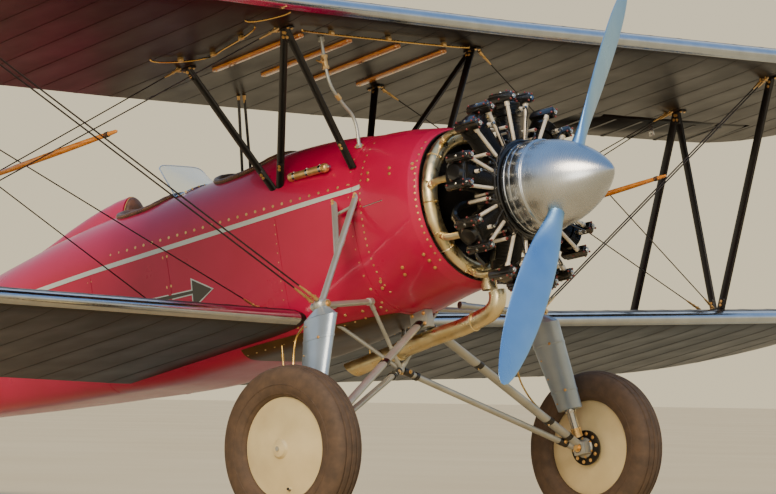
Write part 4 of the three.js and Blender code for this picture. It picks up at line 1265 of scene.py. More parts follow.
def spar_plate(bm, point, corner, bolt_at):
    """The plate under a spar that takes a strut's end, with a bolt near each corner."""
    block(bm, point - Vector((*corner, 7)), point + Vector((*corner, 3)), 3)
    mark(bm)
    for x in (-bolt_at[0], bolt_at[0]):
        for y in (-bolt_at[1], bolt_at[1]):
            bolt(bm, point + Vector((x, y, -7)), (0, 0, -1), 6.5)
    tint(bm, 1)


def dress_cabane(side, s):
    """The struts between the fuselage and the centre section."""
    bm = bmesh.new()
    front, rear = (mirrored(s, (x, CABANE_Y, under(UPPER, x, CABANE_Y))) for x in SPARS)
    feet = [mirrored(s, p) for p in ((-858, 372, 410), (-1452, 376, 392), (-1432, 380, 404))]
    lines = [(front, feet[0], 54, 24, 120), (rear, feet[1], 54, 24, 120), (front, feet[2], 50, 22, 150)]
    for a, b, chord, thick, _ in lines:
        blade_strut(bm, a + Vector((0, 0, 12)), b, chord, thick, sides=32)
    for a, b, chord, thick, hidden in lines:
        cuff(bm, a, b, chord, thick, 64)
        cuff(bm, b + (a - b).normalized() * hidden, a, chord, thick, 46)
    for point in (front, rear):
        spar_plate(bm, point, (52, 26), (38, 15))
    piece(f"cabane_struts_{side}", bm, STRUT, BRASS, slot="black_dope", replaces=[f"cabane_{side}"])


def dress_interplane(side, s):
    """The struts between the wings, with one that runs from the upper rear spar to the lower front spar."""
    bm = bmesh.new()
    high = [mirrored(s, (x, STRUT_Y, under(UPPER, x, STRUT_Y))) for x in SPARS]
    low = [mirrored(s, (x, STRUT_Y, under(LOWER, x, STRUT_Y) + 70)) for x in (-1560, -2350)]
    third = mirrored(s, (-1578, STRUT_Y, low[0].z))
    for a, b, chord, thick, hidden in ((high[0], low[0], 62, 26, 86), (high[1], low[1], 62, 26, 52),
                                       (high[1], third, 56, 24, 86)):
        blade_strut(bm, a + Vector((0, 0, 12)), b, chord, thick, sides=32)
        cuff(bm, a, b, chord, thick, 70)
        reach = (a - b).normalized()
        cuff(bm, b + reach * (hidden / reach.z), a, chord, thick, 54)
    for point in high:
        spar_plate(bm, point, (60, 30), (46, 18))
    piece(f"interplane_struts_{side}", bm, STRUT, BRASS, slot="black_dope", replaces=[f"interplane_{side}"])


def wire(bm, a, b, r):
    """A streamline wire that tapers up to a threaded end, and a barrel with a fork at each end."""
    run = (b - a).normalized()
    bar(bm, a + run * 60, b - run * 60, r, sides=12)
    mark(bm)
    for point, way in ((a, run), (b, -run)):
        for start, stop, r1, r2, sides in ((150, 110, 0.2, 3.4, 14), (34, 110, 3.4, 3.4, 14),
                                           (58, 70, 6, 6, 6), (-2, 36, 6, 6, 12)):
            bar(bm, point + way * start, point + way * stop, r + r1, r + r2, sides)
        pin = way.cross(Vector((1, 0, 0))).normalized() * (r + 11)
        bar(bm, point + way * 18 - pin, point + way * 18 + pin, 5, sides=8)
    tint(bm, 1)


def dress_wires(side, s):
    """Flying wires run from the upper wing's struts in to the gear and the lower wing's root, landing wires
    from the centre section out to the lower wing's struts."""
    def top(x, y, drop):
        return (x, y, under(UPPER, x, y) - drop)

    def low(x, y, rise):
        return (x, y, under(LOWER, x, y) + rise)

    x, y, z = APEX
    high = under(UPPER, -808, WIRE_Y)
    lines = {
        "flying_wire_front": [((-790, WIRE_Y, high - 4), (x + 16, y + 40, z + 30), 4.5),
                              ((-830, WIRE_Y, high - 5), (x - 22, y + 40, z + 26), 4.5)],
        "flying_wire_rear": [(top(-1590, WIRE_Y, 4), (-1674, 424, -234), 3.6),
                             (top(-1630, WIRE_Y, 4), (-2270, 424, -226), 3.6)],
        "landing_wire_front": [(top(SPARS[0], 880, 6), low(-1530, 3780, 152), 3.6)],
        "landing_wire_rear": [(top(SPARS[1], 880, 6), low(-1640, 3780, 170), 3.6)],
    }
    for name, runs in lines.items():
        bm = bmesh.new()
        for a, b, r in runs:
            wire(bm, mirrored(s, a), mirrored(s, b), r)
        piece(f"{name}_cable_{side}", bm, CABLE, BRASS, slot="silver_steel", replaces=[f"{name}_{side}"])


def dress_stick(side, s):
    """Turned and varnished, held on the landing wires, with a whipping of dark cord near each end."""
    inner = Vector((-815, 880, under(UPPER, -815, 880) + 12))
    outer = Vector((-1530, 3780, under(LOWER, -1530, 3780) + 60))
    share = (2380 - inner.y) / (outer.y - inner.y)
    height = inner.z + share * (outer.z - inner.z) + 18.1
    rows = between([(0, 0), (3, 6), (10, 9), (60, 12), (260, 15.4), (525, 17), (790, 15.4), (990, 12),
                    (1040, 9), (1047, 6), (1050, 0)], 3)
    bm = turning([(x, max(0, r)) for x, r in rows], 32)
    mark(bm)
    for x in (70, 80, 90, 960, 970, 980):
        turned(bm, [(x - 4, 12), (x - 3, 14.5), (x, 15.6), (x + 3, 14.5), (x + 4, 12)], 24)
    tint(bm, 1)
    piece(f"spreader_{side}", bm, SPRUCE, DARK_COLOUR_AND_PAINTED_SHADE, place=BODY
          @ Matrix.Translation((-1760, s * 2389.05, height)), slot="varnished_wood",
          replaces=[f"spreader_stick_{side}"])


for dresses in ((dress_cabane, dress_interplane), (dress_wires,), (dress_stick,)):
    for side, s in SIDES:
        for dress in dresses:
            dress(side, s)


# Landing gear
def fairing(bm, rows):
    """A streamlined casing through rows of (centre, chord, thickness), chord fore and aft, finer behind."""
    outline = [(u, v * (1 if u > 0 else 1 - 0.35 * u * u)) for u, v in circle(48, 1, pi / 48)]
    loft(bm, [[(at[0] + chord / 2 * u, at[1] + thick / 2 * v, at[2]) for u, v in outline]
              for at, chord, thick in rows])


def ring_clamp(bm, a, b, share, chord, thick, width=26):
    """A strap round a strut at a share of its length."""
    spot = a.lerp(b, share)
    run = (b - a).normalized() * width / 2
    blade_strut(bm, spot - run, spot + run, chord + 5, thick + 5, sides=28)


def dress_outrigger(side, s):
    """The truss beside the cowl that carries the shock leg, and the small pipes of the gear."""
    apex, bend, top_front, top_rear, stay_front, stay_rear = (mirrored(s, p) for p in (
        APEX, (-778, 713, -135), (-822, 404, 262), (-1006, 404, 262), (-812, 470, 172), (-948, 470, 152)))
    bm = bmesh.new()
    blade_strut(bm, apex, top_front, 46, 30, sides=32)
    blade_strut(bm, bend, top_rear, 40, 26, sides=32)
    ring_clamp(bm, apex, top_front, 0.545, 46, 30, 44)
    bar(bm, stay_front, stay_rear, 9, sides=20)
    for foot, r in (((-860, 384, -372), 17), ((-1140, 384, -330), 15)):
        foot = mirrored(s, foot)
        bar(bm, apex, foot, r, sides=28)
        bar(bm, foot, apex.lerp(foot, 0.93), r + 5, sides=24)
    ball(bm, apex, 42, 32)
    bar(bm, apex - Vector((56, 0, 0)), apex + Vector((56, 0, 0)), 24, sides=28)
    mark(bm)
    for x in (-56, 56):
        bolt(bm, apex + Vector((x, 0, 0)), (x, 0, 0), 13)
    for point, other in ((top_front, apex), (top_rear, bend)):
        run = (other - point).normalized()
        for step in (24, 50):
            for way in (1, -1):
                bolt(bm, point + run * step + Vector((0, way * 16, 0)), (0, way, 0), 7)
    for point in (stay_front, stay_rear):
        ball(bm, point, 13, 12)
    for out in circle(4, 40, pi / 4):
        bolt(bm, apex + Vector((0, *out)), (0, *out), 7)
    tint(bm, 1)
    fairing(bm, [(mirrored(s, (-741, y, z)), chord, thick) for y, z, chord, thick in (
        (952, -440, 70, 56), (956, -462, 128, 68), (966, -486, 196, 80), (972, -501, 232, 87))])
    tint(bm, 2)
    brake_pipe = ((-866, 962, -516), (-905, 964, -540), (-939, 965, -566), (-964, 970, -617),
                  (-987, 975, -709), (-975, 1010, -860), (-880, 1090, -1060), (-806, 1150, -1205))
    pipe(bm, [mirrored(s, p) for p in brake_pipe], 5.5, 8)
    bar(bm, mirrored(s, (-1590, 380, -466)), mirrored(s, (-1603, 380, -590)), 5, sides=10)
    bar(bm, mirrored(s, (-1596, 380, -516)), mirrored(s, (-1600, 380, -556)), 9, 7, sides=12)
    tint(bm, 3)
    piece(f"outrigger_truss_{side}", bm, SILVER, BRASS, FAIRED, GOLD, slot="silver_steel",
          replaces=[f"outrigger_{side}"])


def dress_shock_leg(side, s):
    """The shock strut in its streamlined casing, with two straps, and the bare tube below it."""
    bm = bmesh.new()
    top, low = Vector((-741, 956, -460)), Vector((-763, 1130, -1010))

    def row(share, chord, thick):
        return (mirrored(s, top.lerp(low, share)), chord, thick)

    fairing(bm, [row(0.075, 236, 88), row(0.078, 246, 94), row(0.25, 231, 92), row(0.5, 213, 88),
                 row(0.75, 194, 84), row(0.985, 177, 80), row(0.997, 174, 77), row(1.0, 166, 70)])
    for share, chord, thick in ((0.3, 233, 95), (0.8, 195, 87)):
        fairing(bm, [row(share - 0.012, chord - 2, thick - 2), row(share - 0.01, chord + 1, thick + 1),
                     row(share + 0.01, chord - 1, thick), row(share + 0.012, chord - 4, thick - 3)])
    mark(bm)
    foot, axle = mirrored(s, low), mirrored(s, (-770, 1184, -1232))
    run = (axle - foot).normalized()
    bar(bm, foot - run * 30, axle - run * 60, 24, sides=32)
    bar(bm, foot + run * 2, foot + run * 16, 36, 34, sides=32)
    tint(bm, 1)
    for share in (0.3, 0.8):
        spot = top.lerp(low, share)
        for way in (1, -1):
            thick = 95 if share < 0.5 else 87
            bolt(bm, mirrored(s, spot) + Vector((40, way * thick * 0.47, 0)), (0, way, 0), 6)
    for step in (0.15, 0.45, 0.65, 0.92):
        spot, chord = top.lerp(low, step), 250 - 74 * step
        for way in (1, -1):
            thick = (96 - 16 * step) / 2
            ball(bm, mirrored(s, spot) + Vector((-chord * 0.3, way * thick * 0.83, 0)), 5, 8)
    bar(bm, axle - run * 118, axle - run * 62, 31, sides=28)
    tint(bm, 2)
    piece(f"shock_leg_{side}", bm, FAIRED, STEEL, BRASS, slot="silver_steel",
          replaces=[f"shock_strut_{side}"], angle=40)


def dress_front_leg(side, s):
    """The tube from the belly to the hub, with its clamps, knuckle, brake plate, axle stub and brake pipe."""
    hub = mirrored(s, WHEEL)
    bm = bmesh.new()
    a, b = mirrored(s, (-832, 31, -499)), mirrored(s, (-778, 1170, -1216))
    blade_strut(bm, a, b, 66, 40, sides=36)
    place = facing_out(s, WHEEL)
    knuckle = turning([(-175, 0), (-175, 30), (-168, 38), (-150, 41), (-118, 44), (-110, 60), (-106, 60),
                       (-104, 46), (-86, 46), (-86, 0)], 48)
    copies(bm, knuckle, [place])
    block(bm, (hub.x - 36, s * 1150, hub.z - 44), (hub.x + 52, s * 1215, hub.z + 30), 8)
    mark(bm)
    for share, width in ((0.018, 40), (0.335, 34), (0.8, 34), (0.93, 30)):
        ring_clamp(bm, a, b, share, 66, 40, width)
    tint(bm, 1)
    plate = turning([(-103, 0), (-103, 98), (-101, 104), (-88, 104), (-86, 101), (-86, 0)], 64)
    copies(bm, plate, [place])
    tint(bm, 3)
    inward = Vector((0, -s, 0))
    for places, depth, r in ((circle(10, 84), 103, 7), (circle(6, 53, pi / 6), 110, 6.5),
                             ([(0, 0)], 175, 17)):
        for x, z in places:
            bolt(bm, hub + Vector((x, 0, z)) + inward * depth, inward, r)
    for share in (0.335, 0.8):
        spot = a.lerp(b, share)
        for way in (1, -1):
            bolt(bm, spot + Vector((0, 0, way * 21)), (0, 0, way), 6)
    bar(bm, hub - Vector((0, s * 86, 0)), hub - Vector((0, s * 27, 0)), 24, sides=32)
    tint(bm, 2)
    pipe(bm, [mirrored(s, p) for p in ((-801, 1219, -1167), (-815, 1201, -1127), (-801, 1185, -1057),
                                       (-800, 1130, -1000), (-834, 1060, -760), (-800, 985, -520),
                                       (-790, 958, -455))], 5, 8)
    tint(bm, 1)
    piece(f"front_leg_tube_{side}", bm, SILVER, BLACK, BRASS, DARK, slot="silver_steel",
          replaces=[f"front_leg_{side}"], angle=38)


def dress_rear_leg(side, s):
    bm = bmesh.new()
    a, b = mirrored(s, (-1050, 26, -729)), mirrored(s, (-806, 1150, -1224))
    blade_strut(bm, a, b, 44, 34, sides=32)
    mark(bm)
    for share, chord, thick, width in ((0.02, 46, 36, 60), (0.07, 52, 42, 20), (0.94, 46, 36, 60)):
        ring_clamp(bm, a, b, share, chord, thick, width)
    tint(bm, 1)
    for share in (0.02, 0.94):
        spot = a.lerp(b, share)
        for way in (1, -1):
            bolt(bm, spot + Vector((way * 24, 0, 0)), (way, 0, 0), 8)
    tint(bm, 2)
    piece(f"rear_leg_tube_{side}", bm, SILVER, BLACK, BRASS, slot="silver_steel",
          replaces=[f"rear_leg_{side}"])


def dress_belly():
    bm = bmesh.new()
    block(bm, (-902, -30, -528), (-772, 30, -424), 5)
    mark(bm)
    for x in (-880, -794):
        for y in (-30, 30):
            for z in (-446, -506):
                bolt(bm, (x, y, z), (0, y, 0), 8)
    tint(bm, 1)
    piece("belly_fitting", bm, SILVER, BRASS, slot="silver_steel", replaces=["belly_bracket"])
    bm = bmesh.new()
    heart = Vector((-1050, 0, -720))
    ball(bm, heart, 24, 24)
    for x, z in ((-930, -340), (-1240, -390)):
        for y in (-320, 320):
            foot = Vector((x, y, z))
            bar(bm, heart, foot, 12, sides=24)
            bar(bm, heart.lerp(foot, 0.86), foot, 15, sides=24)
            bar(bm, heart, heart.lerp(foot, 0.12), 15, sides=24)
    mark(bm)
    for y in (-1, 1):
        bolt(bm, heart + Vector((0, 0, 22 * y)), (0, 0, y), 9)
    tint(bm, 1)
    piece("belly_truss", bm, SILVER, BRASS, slot="silver_steel", replaces=["belly_pyramid"])


GOLD = polished("brass tube", "#d8b26a", "#c79c52", 0.22, 0.02)
# Silver sheet metal; its blue tint is a painted reflection of the sky.
FAIRED = painted("silver sheet metal, blue as painted sky reflection", "#a9b9c6", "#98a8b6", 0.3, 0.35, grain=0.2, metal=0.5)
for side, s in SIDES:
    dress_outrigger(side, s)
    dress_shock_leg(side, s)
    dress_front_leg(side, s)
    dress_rear_leg(side, s)
dress_belly()


# Tail and ailerons
RUDDER_HINGE, ELEVATOR_HINGE, TAIL_Z = -6440, -6372, 236
RUDDER_PINS, ELEVATOR_PINS = (430, 860), (450, 1200)
TAPE_LIFT = 0.8


def thinning(thick, step, rows):
    """Adds a thickness to each row, less by a step from one to the next."""
    return [(*row, thick - step * i) for i, row in enumerate(rows)]


# Height or distance from the middle, leading edge or length behind the hinge, thickness or nose radius
FIN_TRAIL, STABILISER_TRAIL = -6407, -6345
FIN = thinning(56, 5, [(200, -5560), (420, -5740), (620, -5930), (780, -6090), (890, -6230), (950, -6345)])
RUDDER = thinning(24, 0.6, [(-84, 190), (-60, 290), (20, 400), (160, 490), (340, 530), (560, 526), (760, 470),
                            (900, 380), (985, 270), (1030, 150), (1042, 70)])
STABILISER = thinning(54, 5, [(10, -5770), (500, -5800), (950, -5862), (1300, -5950), (1520, -6050),
                              (1650, -6170), (1705, -6290)])
ELEVATOR = thinning(17, 0.5, [(76, 40), (120, 110), (330, 400), (700, 430), (1100, 424), (1400, 350),
                              (1590, 240), (1690, 110), (1716, 50)])


def leaf_ring(lead, trail, thick, spot):
    """A symmetric tail section, finer behind."""
    return [spot((lead + trail) / 2 + (lead - trail) / 2 * u, thick / 2 * v
                 * (1 - 0.5 * u * u if u < 0 else 1)) for u, v in circle(44, 1, pi / 44)]


def flap_ring(length, nose, spot, grow=0.0):
    """A control surface: round nose about the hinge, flat sides, thin trailing edge."""
    angles = [pi / 2 - pi * k / 10 for k in range(11)]
    points = [((nose + grow) * cos(angle), (nose + grow) * sin(angle)) for angle in angles]
    middle = 0.5 * nose + 2.4 + grow
    points += [(-length * 0.5, -middle), (-length, -3 - grow), (-length - 3, 0), (-length, 3 + grow),
               (-length * 0.5, middle)]
    return [spot(x, t) for x, t in points]


def at_row(rows, place):
    for a, b in zip(rows, rows[1:]):
        if a[0] <= place <= b[0]:
            t = (place - a[0]) / (b[0] - a[0])
            return [p + t * (q - p) for p, q in zip(a, b)]
    return list(rows[-1])


def tape_bands(bm, rows, places, ring_of):
    """Tapes round a tail surface: at each place a short band between two rings, a little off the fabric."""
    for place in places:
        loft(bm, [ring_of(at, *at_row(rows, at)[1:]) for at in (place - 12, place + 12)])


def lug(bm, p, axis, root, r):
    """A hinge plate with its eye and pin; axis 1 is across the span, 2 is up."""
    p, way = Vector(p), Vector([n == axis for n in range(3)])
    wide = Vector([0 if n == 0 else 7 if n == axis else r + 1 for n in range(3)])
    block(bm, p - wide, (root, *(p + wide).yz), 1.5)
    bar(bm, p - way * 7, p + way * 7, r + 3, sides=20)
    bar(bm, p - way * 24, p + way * 24, r, sides=12)


def notch(obj, p, axis, r, reach):
    """Cuts the pocket that takes a hinge plate into a control surface."""
    p = Vector(p)
    wide = Vector([13 if n == axis else reach for n in range(3)])
    pocket = bmesh.new()
    block(pocket, (p.x - r - 9.5, *(p - wide).yz), p + wide)
    shell(obj, pocket)


def dress_fin():
    bm = bmesh.new()
    loft(bm, [leaf_ring(lead, FIN_TRAIL, thick, lambda x, t: (x, t, z)) for z, lead, thick in between(FIN, 4)]
         + [leaf_ring(-6352, -6404, 16, lambda x, t: (x, t, 956))])
    obj = piece("fin_skin", bm, CRIMSON, slot="red_paint", replaces=["fin"], angle=40)
    pocket = bmesh.new()
    block(pocket, (-6500, -60, 0), (-6338, 60, 268))
    shell(obj, pocket)
    smooth(obj, 40)
    bm = bmesh.new()
    for z in RUDDER_PINS:
        lug(bm, (RUDDER_HINGE, 0, z), 2, -6390, 5)
    piece("rudder_hinge_plates", bm, STEEL, slot="silver_steel")
    bm = bmesh.new()

    def band(z, lead, thick):
        return leaf_ring(lead + 0.5, FIN_TRAIL + 1, thick + 1.8, lambda x, t: (x, t, z))

    tape_bands(bm, FIN, (320, 470, 620, 770, 880), band)
    piece("fin_tapes", bm, CRIMSON, slot="red_paint", angle=40)


def dress_rudder():
    def ring(z, length, nose, grow=0.0):
        return flap_ring(length, nose, lambda x, t: (RUDDER_HINGE + x, t, z), grow)
    bm = bmesh.new()
    loft(bm, [ring(*row) for row in between(RUDDER, 4)] + [ring(1046, 30, 10)])
    obj = piece("rudder_skin", bm, DOPE, body="rudder", slot="black_dope", replaces=["rudder"], angle=40)
    for z in RUDDER_PINS:
        notch(obj, (RUDDER_HINGE, 0, z), 2, 5, 30)
    smooth(obj, 40)
    bm = bmesh.new()
    tape_bands(bm, RUDDER, (40, 170, 300, 540, 670, 760, 940), lambda *row: ring(*row, TAPE_LIFT))
    piece("rudder_tapes", bm, TAPE, body="rudder", slot="black_dope", angle=40)
    bm = bmesh.new()
    for y in (1, -1):
        block(bm, (RUDDER_HINGE - 22, y * 18, 96), (RUDDER_HINGE + 14, y * 120, 104), 3)
        bar(bm, (RUDDER_HINGE + 2, y * 108, 88), (RUDDER_HINGE + 2, y * 108, 112), 6, sides=12)
    piece("rudder_horn", bm, STEEL, body="rudder", slot="silver_steel")


def dress_stabilisers():
    for side, s in SIDES:
        def ring(y, lead, thick, grow=0.0):
            lead, thick = lead + grow, thick + 2 * grow
            return leaf_ring(lead, STABILISER_TRAIL, thick, lambda x, t: (x, s * y, TAIL_Z + t))

        bm = bmesh.new()
        loft(bm, [ring(*row) for row in between(STABILISER, 4)] + [ring(1711, -6302, 14)])
        piece(f"stabiliser_skin_{side}", bm, DOPE, slot="black_dope", replaces=[f"stabiliser_{side}"],
              angle=40)
        bm = bmesh.new()
        tape_bands(bm, STABILISER, range(300, 1650, 225), lambda *row: ring(*row, TAPE_LIFT))
        piece(f"stabiliser_tapes_{side}", bm, TAPE, slot="black_dope", angle=40)
        bm = bmesh.new()
        for y in ELEVATOR_PINS:
            lug(bm, (ELEVATOR_HINGE, s * y, TAIL_Z), 1, -6335, 4)
        piece(f"elevator_hinge_plates_{side}", bm, STEEL, slot="silver_steel")
        bm = bmesh.new()
        a, b = mirrored(s, (-6050, 58, -56)), mirrored(s, (-6080, 1010, TAIL_Z - 20))
        blade_strut(bm, a, b, 34, 18, sides=28)
        for near, far in ((a, b), (b, a)):
            blade_strut(bm, near, near.lerp(far, 0.07), 30, 24, sides=24)
        mark(bm)
        run = (b - a).normalized()
        for spot in (a + run * 30, b - run * 30):
            for way in (1, -1):
                bolt(bm, spot + Vector((0, 0, way * 11)), (0, 0, way), 7)
        tint(bm, 1)
        piece(f"tail_brace_strut_{side}", bm, SILVER, BRASS, slot="silver_steel",
              replaces=[f"tail_brace_{side}"])


def dress_elevators():
    bm = bmesh.new()
    bar(bm, (ELEVATOR_HINGE, -90, TAIL_Z), (ELEVATOR_HINGE, 90, TAIL_Z), 13, sides=24)
    tapes = bmesh.new()
    horns = bmesh.new()
    for _, s in SIDES:
        def ring(y, length, nose, grow=0.0):
            return flap_ring(length, nose, lambda x, t: (ELEVATOR_HINGE + x, s * y, TAIL_Z + t), grow)
        loft(bm, [ring(*row) for row in between(ELEVATOR, 4)] + [ring(1720, 24, 6)])
        tape_bands(tapes, ELEVATOR, (300, 560, 760, 960, 1300, 1500), lambda *row: ring(*row, TAPE_LIFT))
        for way in (1, -1):
            block(horns, (ELEVATOR_HINGE - 14, s * 150 - 4, TAIL_Z + way * 10),
                  (ELEVATOR_HINGE + 14, s * 150 + 4, TAIL_Z + way * 110), 2)
            bar(horns, (ELEVATOR_HINGE, s * 150 - 9, TAIL_Z + way * 98),
                (ELEVATOR_HINGE, s * 150 + 9, TAIL_Z + way * 98), 6, sides=12)
    obj = piece("elevator_skin", bm, DOPE, body="elevators", slot="black_dope", replaces=["elevators"],
                angle=40)
    for s in (1, -1):
        for y in ELEVATOR_PINS:
            notch(obj, (ELEVATOR_HINGE, s * y, TAIL_Z), 1, 4, 22)
    smooth(obj, 40)
    piece("elevator_tapes", tapes, TAPE, body="elevators", slot="black_dope", angle=40)
    piece("elevator_horns", horns, STEEL, body="elevators", slot="silver_steel")


def dress_ailerons():
    for side, s in SIDES:
        carried(f"aileron_skin_{side}", DOPE, "black_dope", f"aileron_{side}", body=f"aileron_{side}",
                angle=40)
        bm = bmesh.new()
        for y in ribs(BAY["inner"], BAY["outer"]):
            strip = in_body(f"aileron_{side}")
            slab(strip, s * y - TAPE_HALF, s * y + TAPE_HALF, (0, 1, 0))
            keep(strip, (-1842, 0, 0), (1, 0, 0))
            raise_skin(strip, 1.4, -2)
            copies(bm, strip)
        piece(f"aileron_tapes_{side}", bm, TAPE, body=f"aileron_{side}", slot="black_dope", angle=40)
        bm = bmesh.new()
        y, z = s * 3920, under(UPPER, -1880, 3920) + 20
        block(bm, (-1912, y - 4, z - 96), (-1872, y + 4, z + 6), 3)
        bar(bm, (-1890, y - 10, z - 84), (-1890, y + 10, z - 84), 6, sides=12)
        piece(f"aileron_horn_{side}", bm, STEEL, body=f"aileron_{side}", slot="silver_steel")


SWIVEL, TRAIL, SMALL_R = -2910.1, 78, 120


def dress_tailwheel():
    """The leg on the fuselage, the fork that swivels in it and the wheel, drawn in the level frame."""
    bm = bmesh.new()
    bar(bm, (SWIVEL, 0, 276), (SWIVEL, 0, 332), 26, sides=32)
    bar(bm, (SWIVEL, 0, 332), (SWIVEL, 0, 338), 26, 18, sides=32)
    top, front = (BODY @ Vector(p) * 1000 for p in ((-6190, 0, -60), (-5960, 0, -90)))
    bar(bm, (SWIVEL, 0, 310), top, 20, sides=28)
    bar(bm, (SWIVEL + 4, 0, 310), front, 16, sides=28)
    mark(bm)
    for x, y in circle(6, 25):
        bolt(bm, (SWIVEL + x, y, 322), (x, y, 0), 5)
    tint(bm, 1)
    piece("tailwheel_strut", bm, SILVER, BRASS, place=LEVEL, slot="silver_steel", replaces=["tailwheel_leg"])
    bm = bmesh.new()
    axle = SWIVEL - TRAIL
    bar(bm, (SWIVEL, 0, 246), (SWIVEL, 0, 271), 24, sides=32)
    bar(bm, (SWIVEL, 0, 250), (SWIVEL, 0, 302), 12, sides=24)
    bar(bm, (axle, -36, SMALL_R), (axle, 36, SMALL_R), 9, sides=20)
    block(bm, (SWIVEL - 34, -46, 240), (SWIVEL + 24, 46, 258), 5)
    for s in (1, -1):
        blade_strut(bm, (SWIVEL - 6, s * 40, 252), (axle, s * 40, SMALL_R), 44, 12, sides=28)
        bar(bm, (axle, s * 34, SMALL_R), (axle, s * 46, SMALL_R), 21, sides=28)
    mark(bm)
    for s in (1, -1):
        bolt(bm, (axle, s * 45, SMALL_R), (0, s, 0), 9)
    tint(bm, 1)
    piece("tailwheel_yoke", bm, SILVER, STEEL, body="tailwheel_fork", place=LEVEL, slot="silver_steel",
          replaces=["tailwheel_fork"])
    bm = turning(round_tyre([(3.5, 116), (4, 119), (10, 117.5), (20, 110), (26, 98), (27, 84), (25, 70),
                             (19, 62), (20, 40), (26, 34), (26, 10)]), 64)
    mark(bm)
    turned(bm, [(-26.5, 9.5), (-26.5, 30), (-22, 60), (22, 60), (26.5, 30), (26.5, 9.5)], 48)
    tint(bm, 1)
    place = LEVEL @ Matrix.Translation((axle, 0, SMALL_R)) @ Matrix.Rotation(pi / 2, 4, "Z")
    piece("tailwheel_tyre", bm, RUBBER, CREAM, body="tailwheel", place=place, slot="tyre_rubber",
          replaces=["tailwheel"], angle=40)


def carried(name, material, slot, *nodes, body="airframe", angle=35):
    return piece(name, from_node(*nodes), material, body=body, place=Matrix(), angle=angle, slot=slot,
                 replaces=nodes)


dress_fin()
dress_rudder()
dress_stabilisers()
dress_elevators()
dress_ailerons()
dress_tailwheel()


# Cockpits and soft parts
def dress_rims():
    """Padded rolls round the cockpits, riding on the deck, slightly lumpy, stitched on the outside. The
    rear one stops at the headrest."""
    count, rest_x = 120, -2968
    for name, well in zip(("front", "rear"), WELLS):
        bm = bmesh.new()
        path = [Vector((x, y, deck_at(x, y) + 5)) for x, y, _ in well_ring(well, 11, 0, count)]
        rings = []
        for k, point in enumerate(path):
            run = (path[(k + 1) % count] - path[k - 1]).normalized()
            out = run.cross(Vector((0, 0, 1))).normalized()
            up = out.cross(run).normalized()
            plump = 1 + 0.035 * cos(2 * pi * k / 6) + 0.02 * sin(2 * pi * k * 7 / count)
            rings.append([point + (out * 19 * c + up * 18 * s) * plump for c, s in circle(20, 1)])
        loft(bm, rings + [rings[0]], ends=False)
        bmesh.ops.remove_doubles(bm, verts=bm.verts, dist=0.05)
        if name == "rear":
            keep(bm, (rest_x, 0, 0), (-1, 0, 0), cap=True)
        mark(bm)
        for k in range(count):
            point, after = path[k], path[(k + 1) % count]
            if name == "rear" and point.x < rest_x + 13:
                continue
            run = (after - point).normalized()
            out = run.cross(Vector((0, 0, 1))).normalized()
            if out.dot(point - Vector(((well[0] + well[1]) / 2, 0, point.z))) < 0:
                out = -out
            spot = point + out * 19.6 + Vector((0, 0, 1))
            bar(bm, spot - run * 3.4, spot + run * 3.4, 1.5, sides=5)
        tint(bm, 1)
        rim = piece(f"{name}_cockpit_rim", bm, LEATHER, STITCH, slot="brown_leather",
                    replaces=[f"{name}_coaming"], angle=60)


def dress_screen():
    """A sheet bent round in plan, its foot on the deck, with an edge binding and a bolted base strip."""
    # Height, station of the middle, depth of the bend and half width
    rows = [(540, -2470, 300, 250), (664, -2490, 226, 236), (762, -2520, 110, 215), (862, -2556, 16, 192)]
    steps, levels, sweep = 40, 10, 1.25

    def spot(w, z):
        for a, b in zip(rows, rows[1:]):
            if z <= b[0] or b is rows[-1]:
                t = (z - a[0]) / (b[0] - a[0])
                _, x, depth, half = [p + t * (q - p) for p, q in zip(a, b)]
                return Vector((x + depth * cos(w), half * sin(w), z))

    grid = []
    for k in range(steps + 1):
        w = (2 * k / steps - 1) * sweep
        z = 660
        for _ in range(6):
            point = spot(w, z)
            z = deck_at(point.x, point.y) + 1.5
        top = rows[-1][0] - 26 * abs(w / sweep) ** 6
        grid.append([spot(w, z + (top - z) * n / levels) for n in range(levels + 1)])
    feet, tops = ([column[n] for column in grid] for n in (0, -1))
    bm = bmesh.new()
    for vert in bmesh.ops.create_grid(bm, x_segments=steps, y_segments=levels, size=1)["verts"]:
        k, n = round((vert.co.x + 1) / 2 * steps), round((vert.co.y + 1) / 2 * levels)
        vert.co = grid[k][n]
    bm.normal_update()
    bmesh.ops.solidify(bm, geom=bm.faces[:], thickness=4.5)
    piece("windscreen_sheet", bm, ACRYLIC, slot="clear_screen", replaces=["windscreen"], angle=50)
    bm = bmesh.new()
    edge = grid[0] + tops[1:-1:3] + grid[-1][::-1]
    pipe(bm, [p + Vector((-2, 0, 0)) for p in edge], 4.2, 10)
    mark(bm)
    pipe(bm, [p + Vector((3, 0, 3)) for p in feet[::2]], 7, 12)
    tint(bm, 1)
    for k in range(2, steps, 3):
        out = (feet[k] - Vector((-2500, 0, feet[k].z))).normalized()
        bolt(bm, feet[k] + out * 8 + Vector((0, 0, 5)), out, 4)
    tint(bm, 2)
    piece("windscreen_edge", bm, EDGE, ALUMINIUM, BRASS, slot="clear_screen")


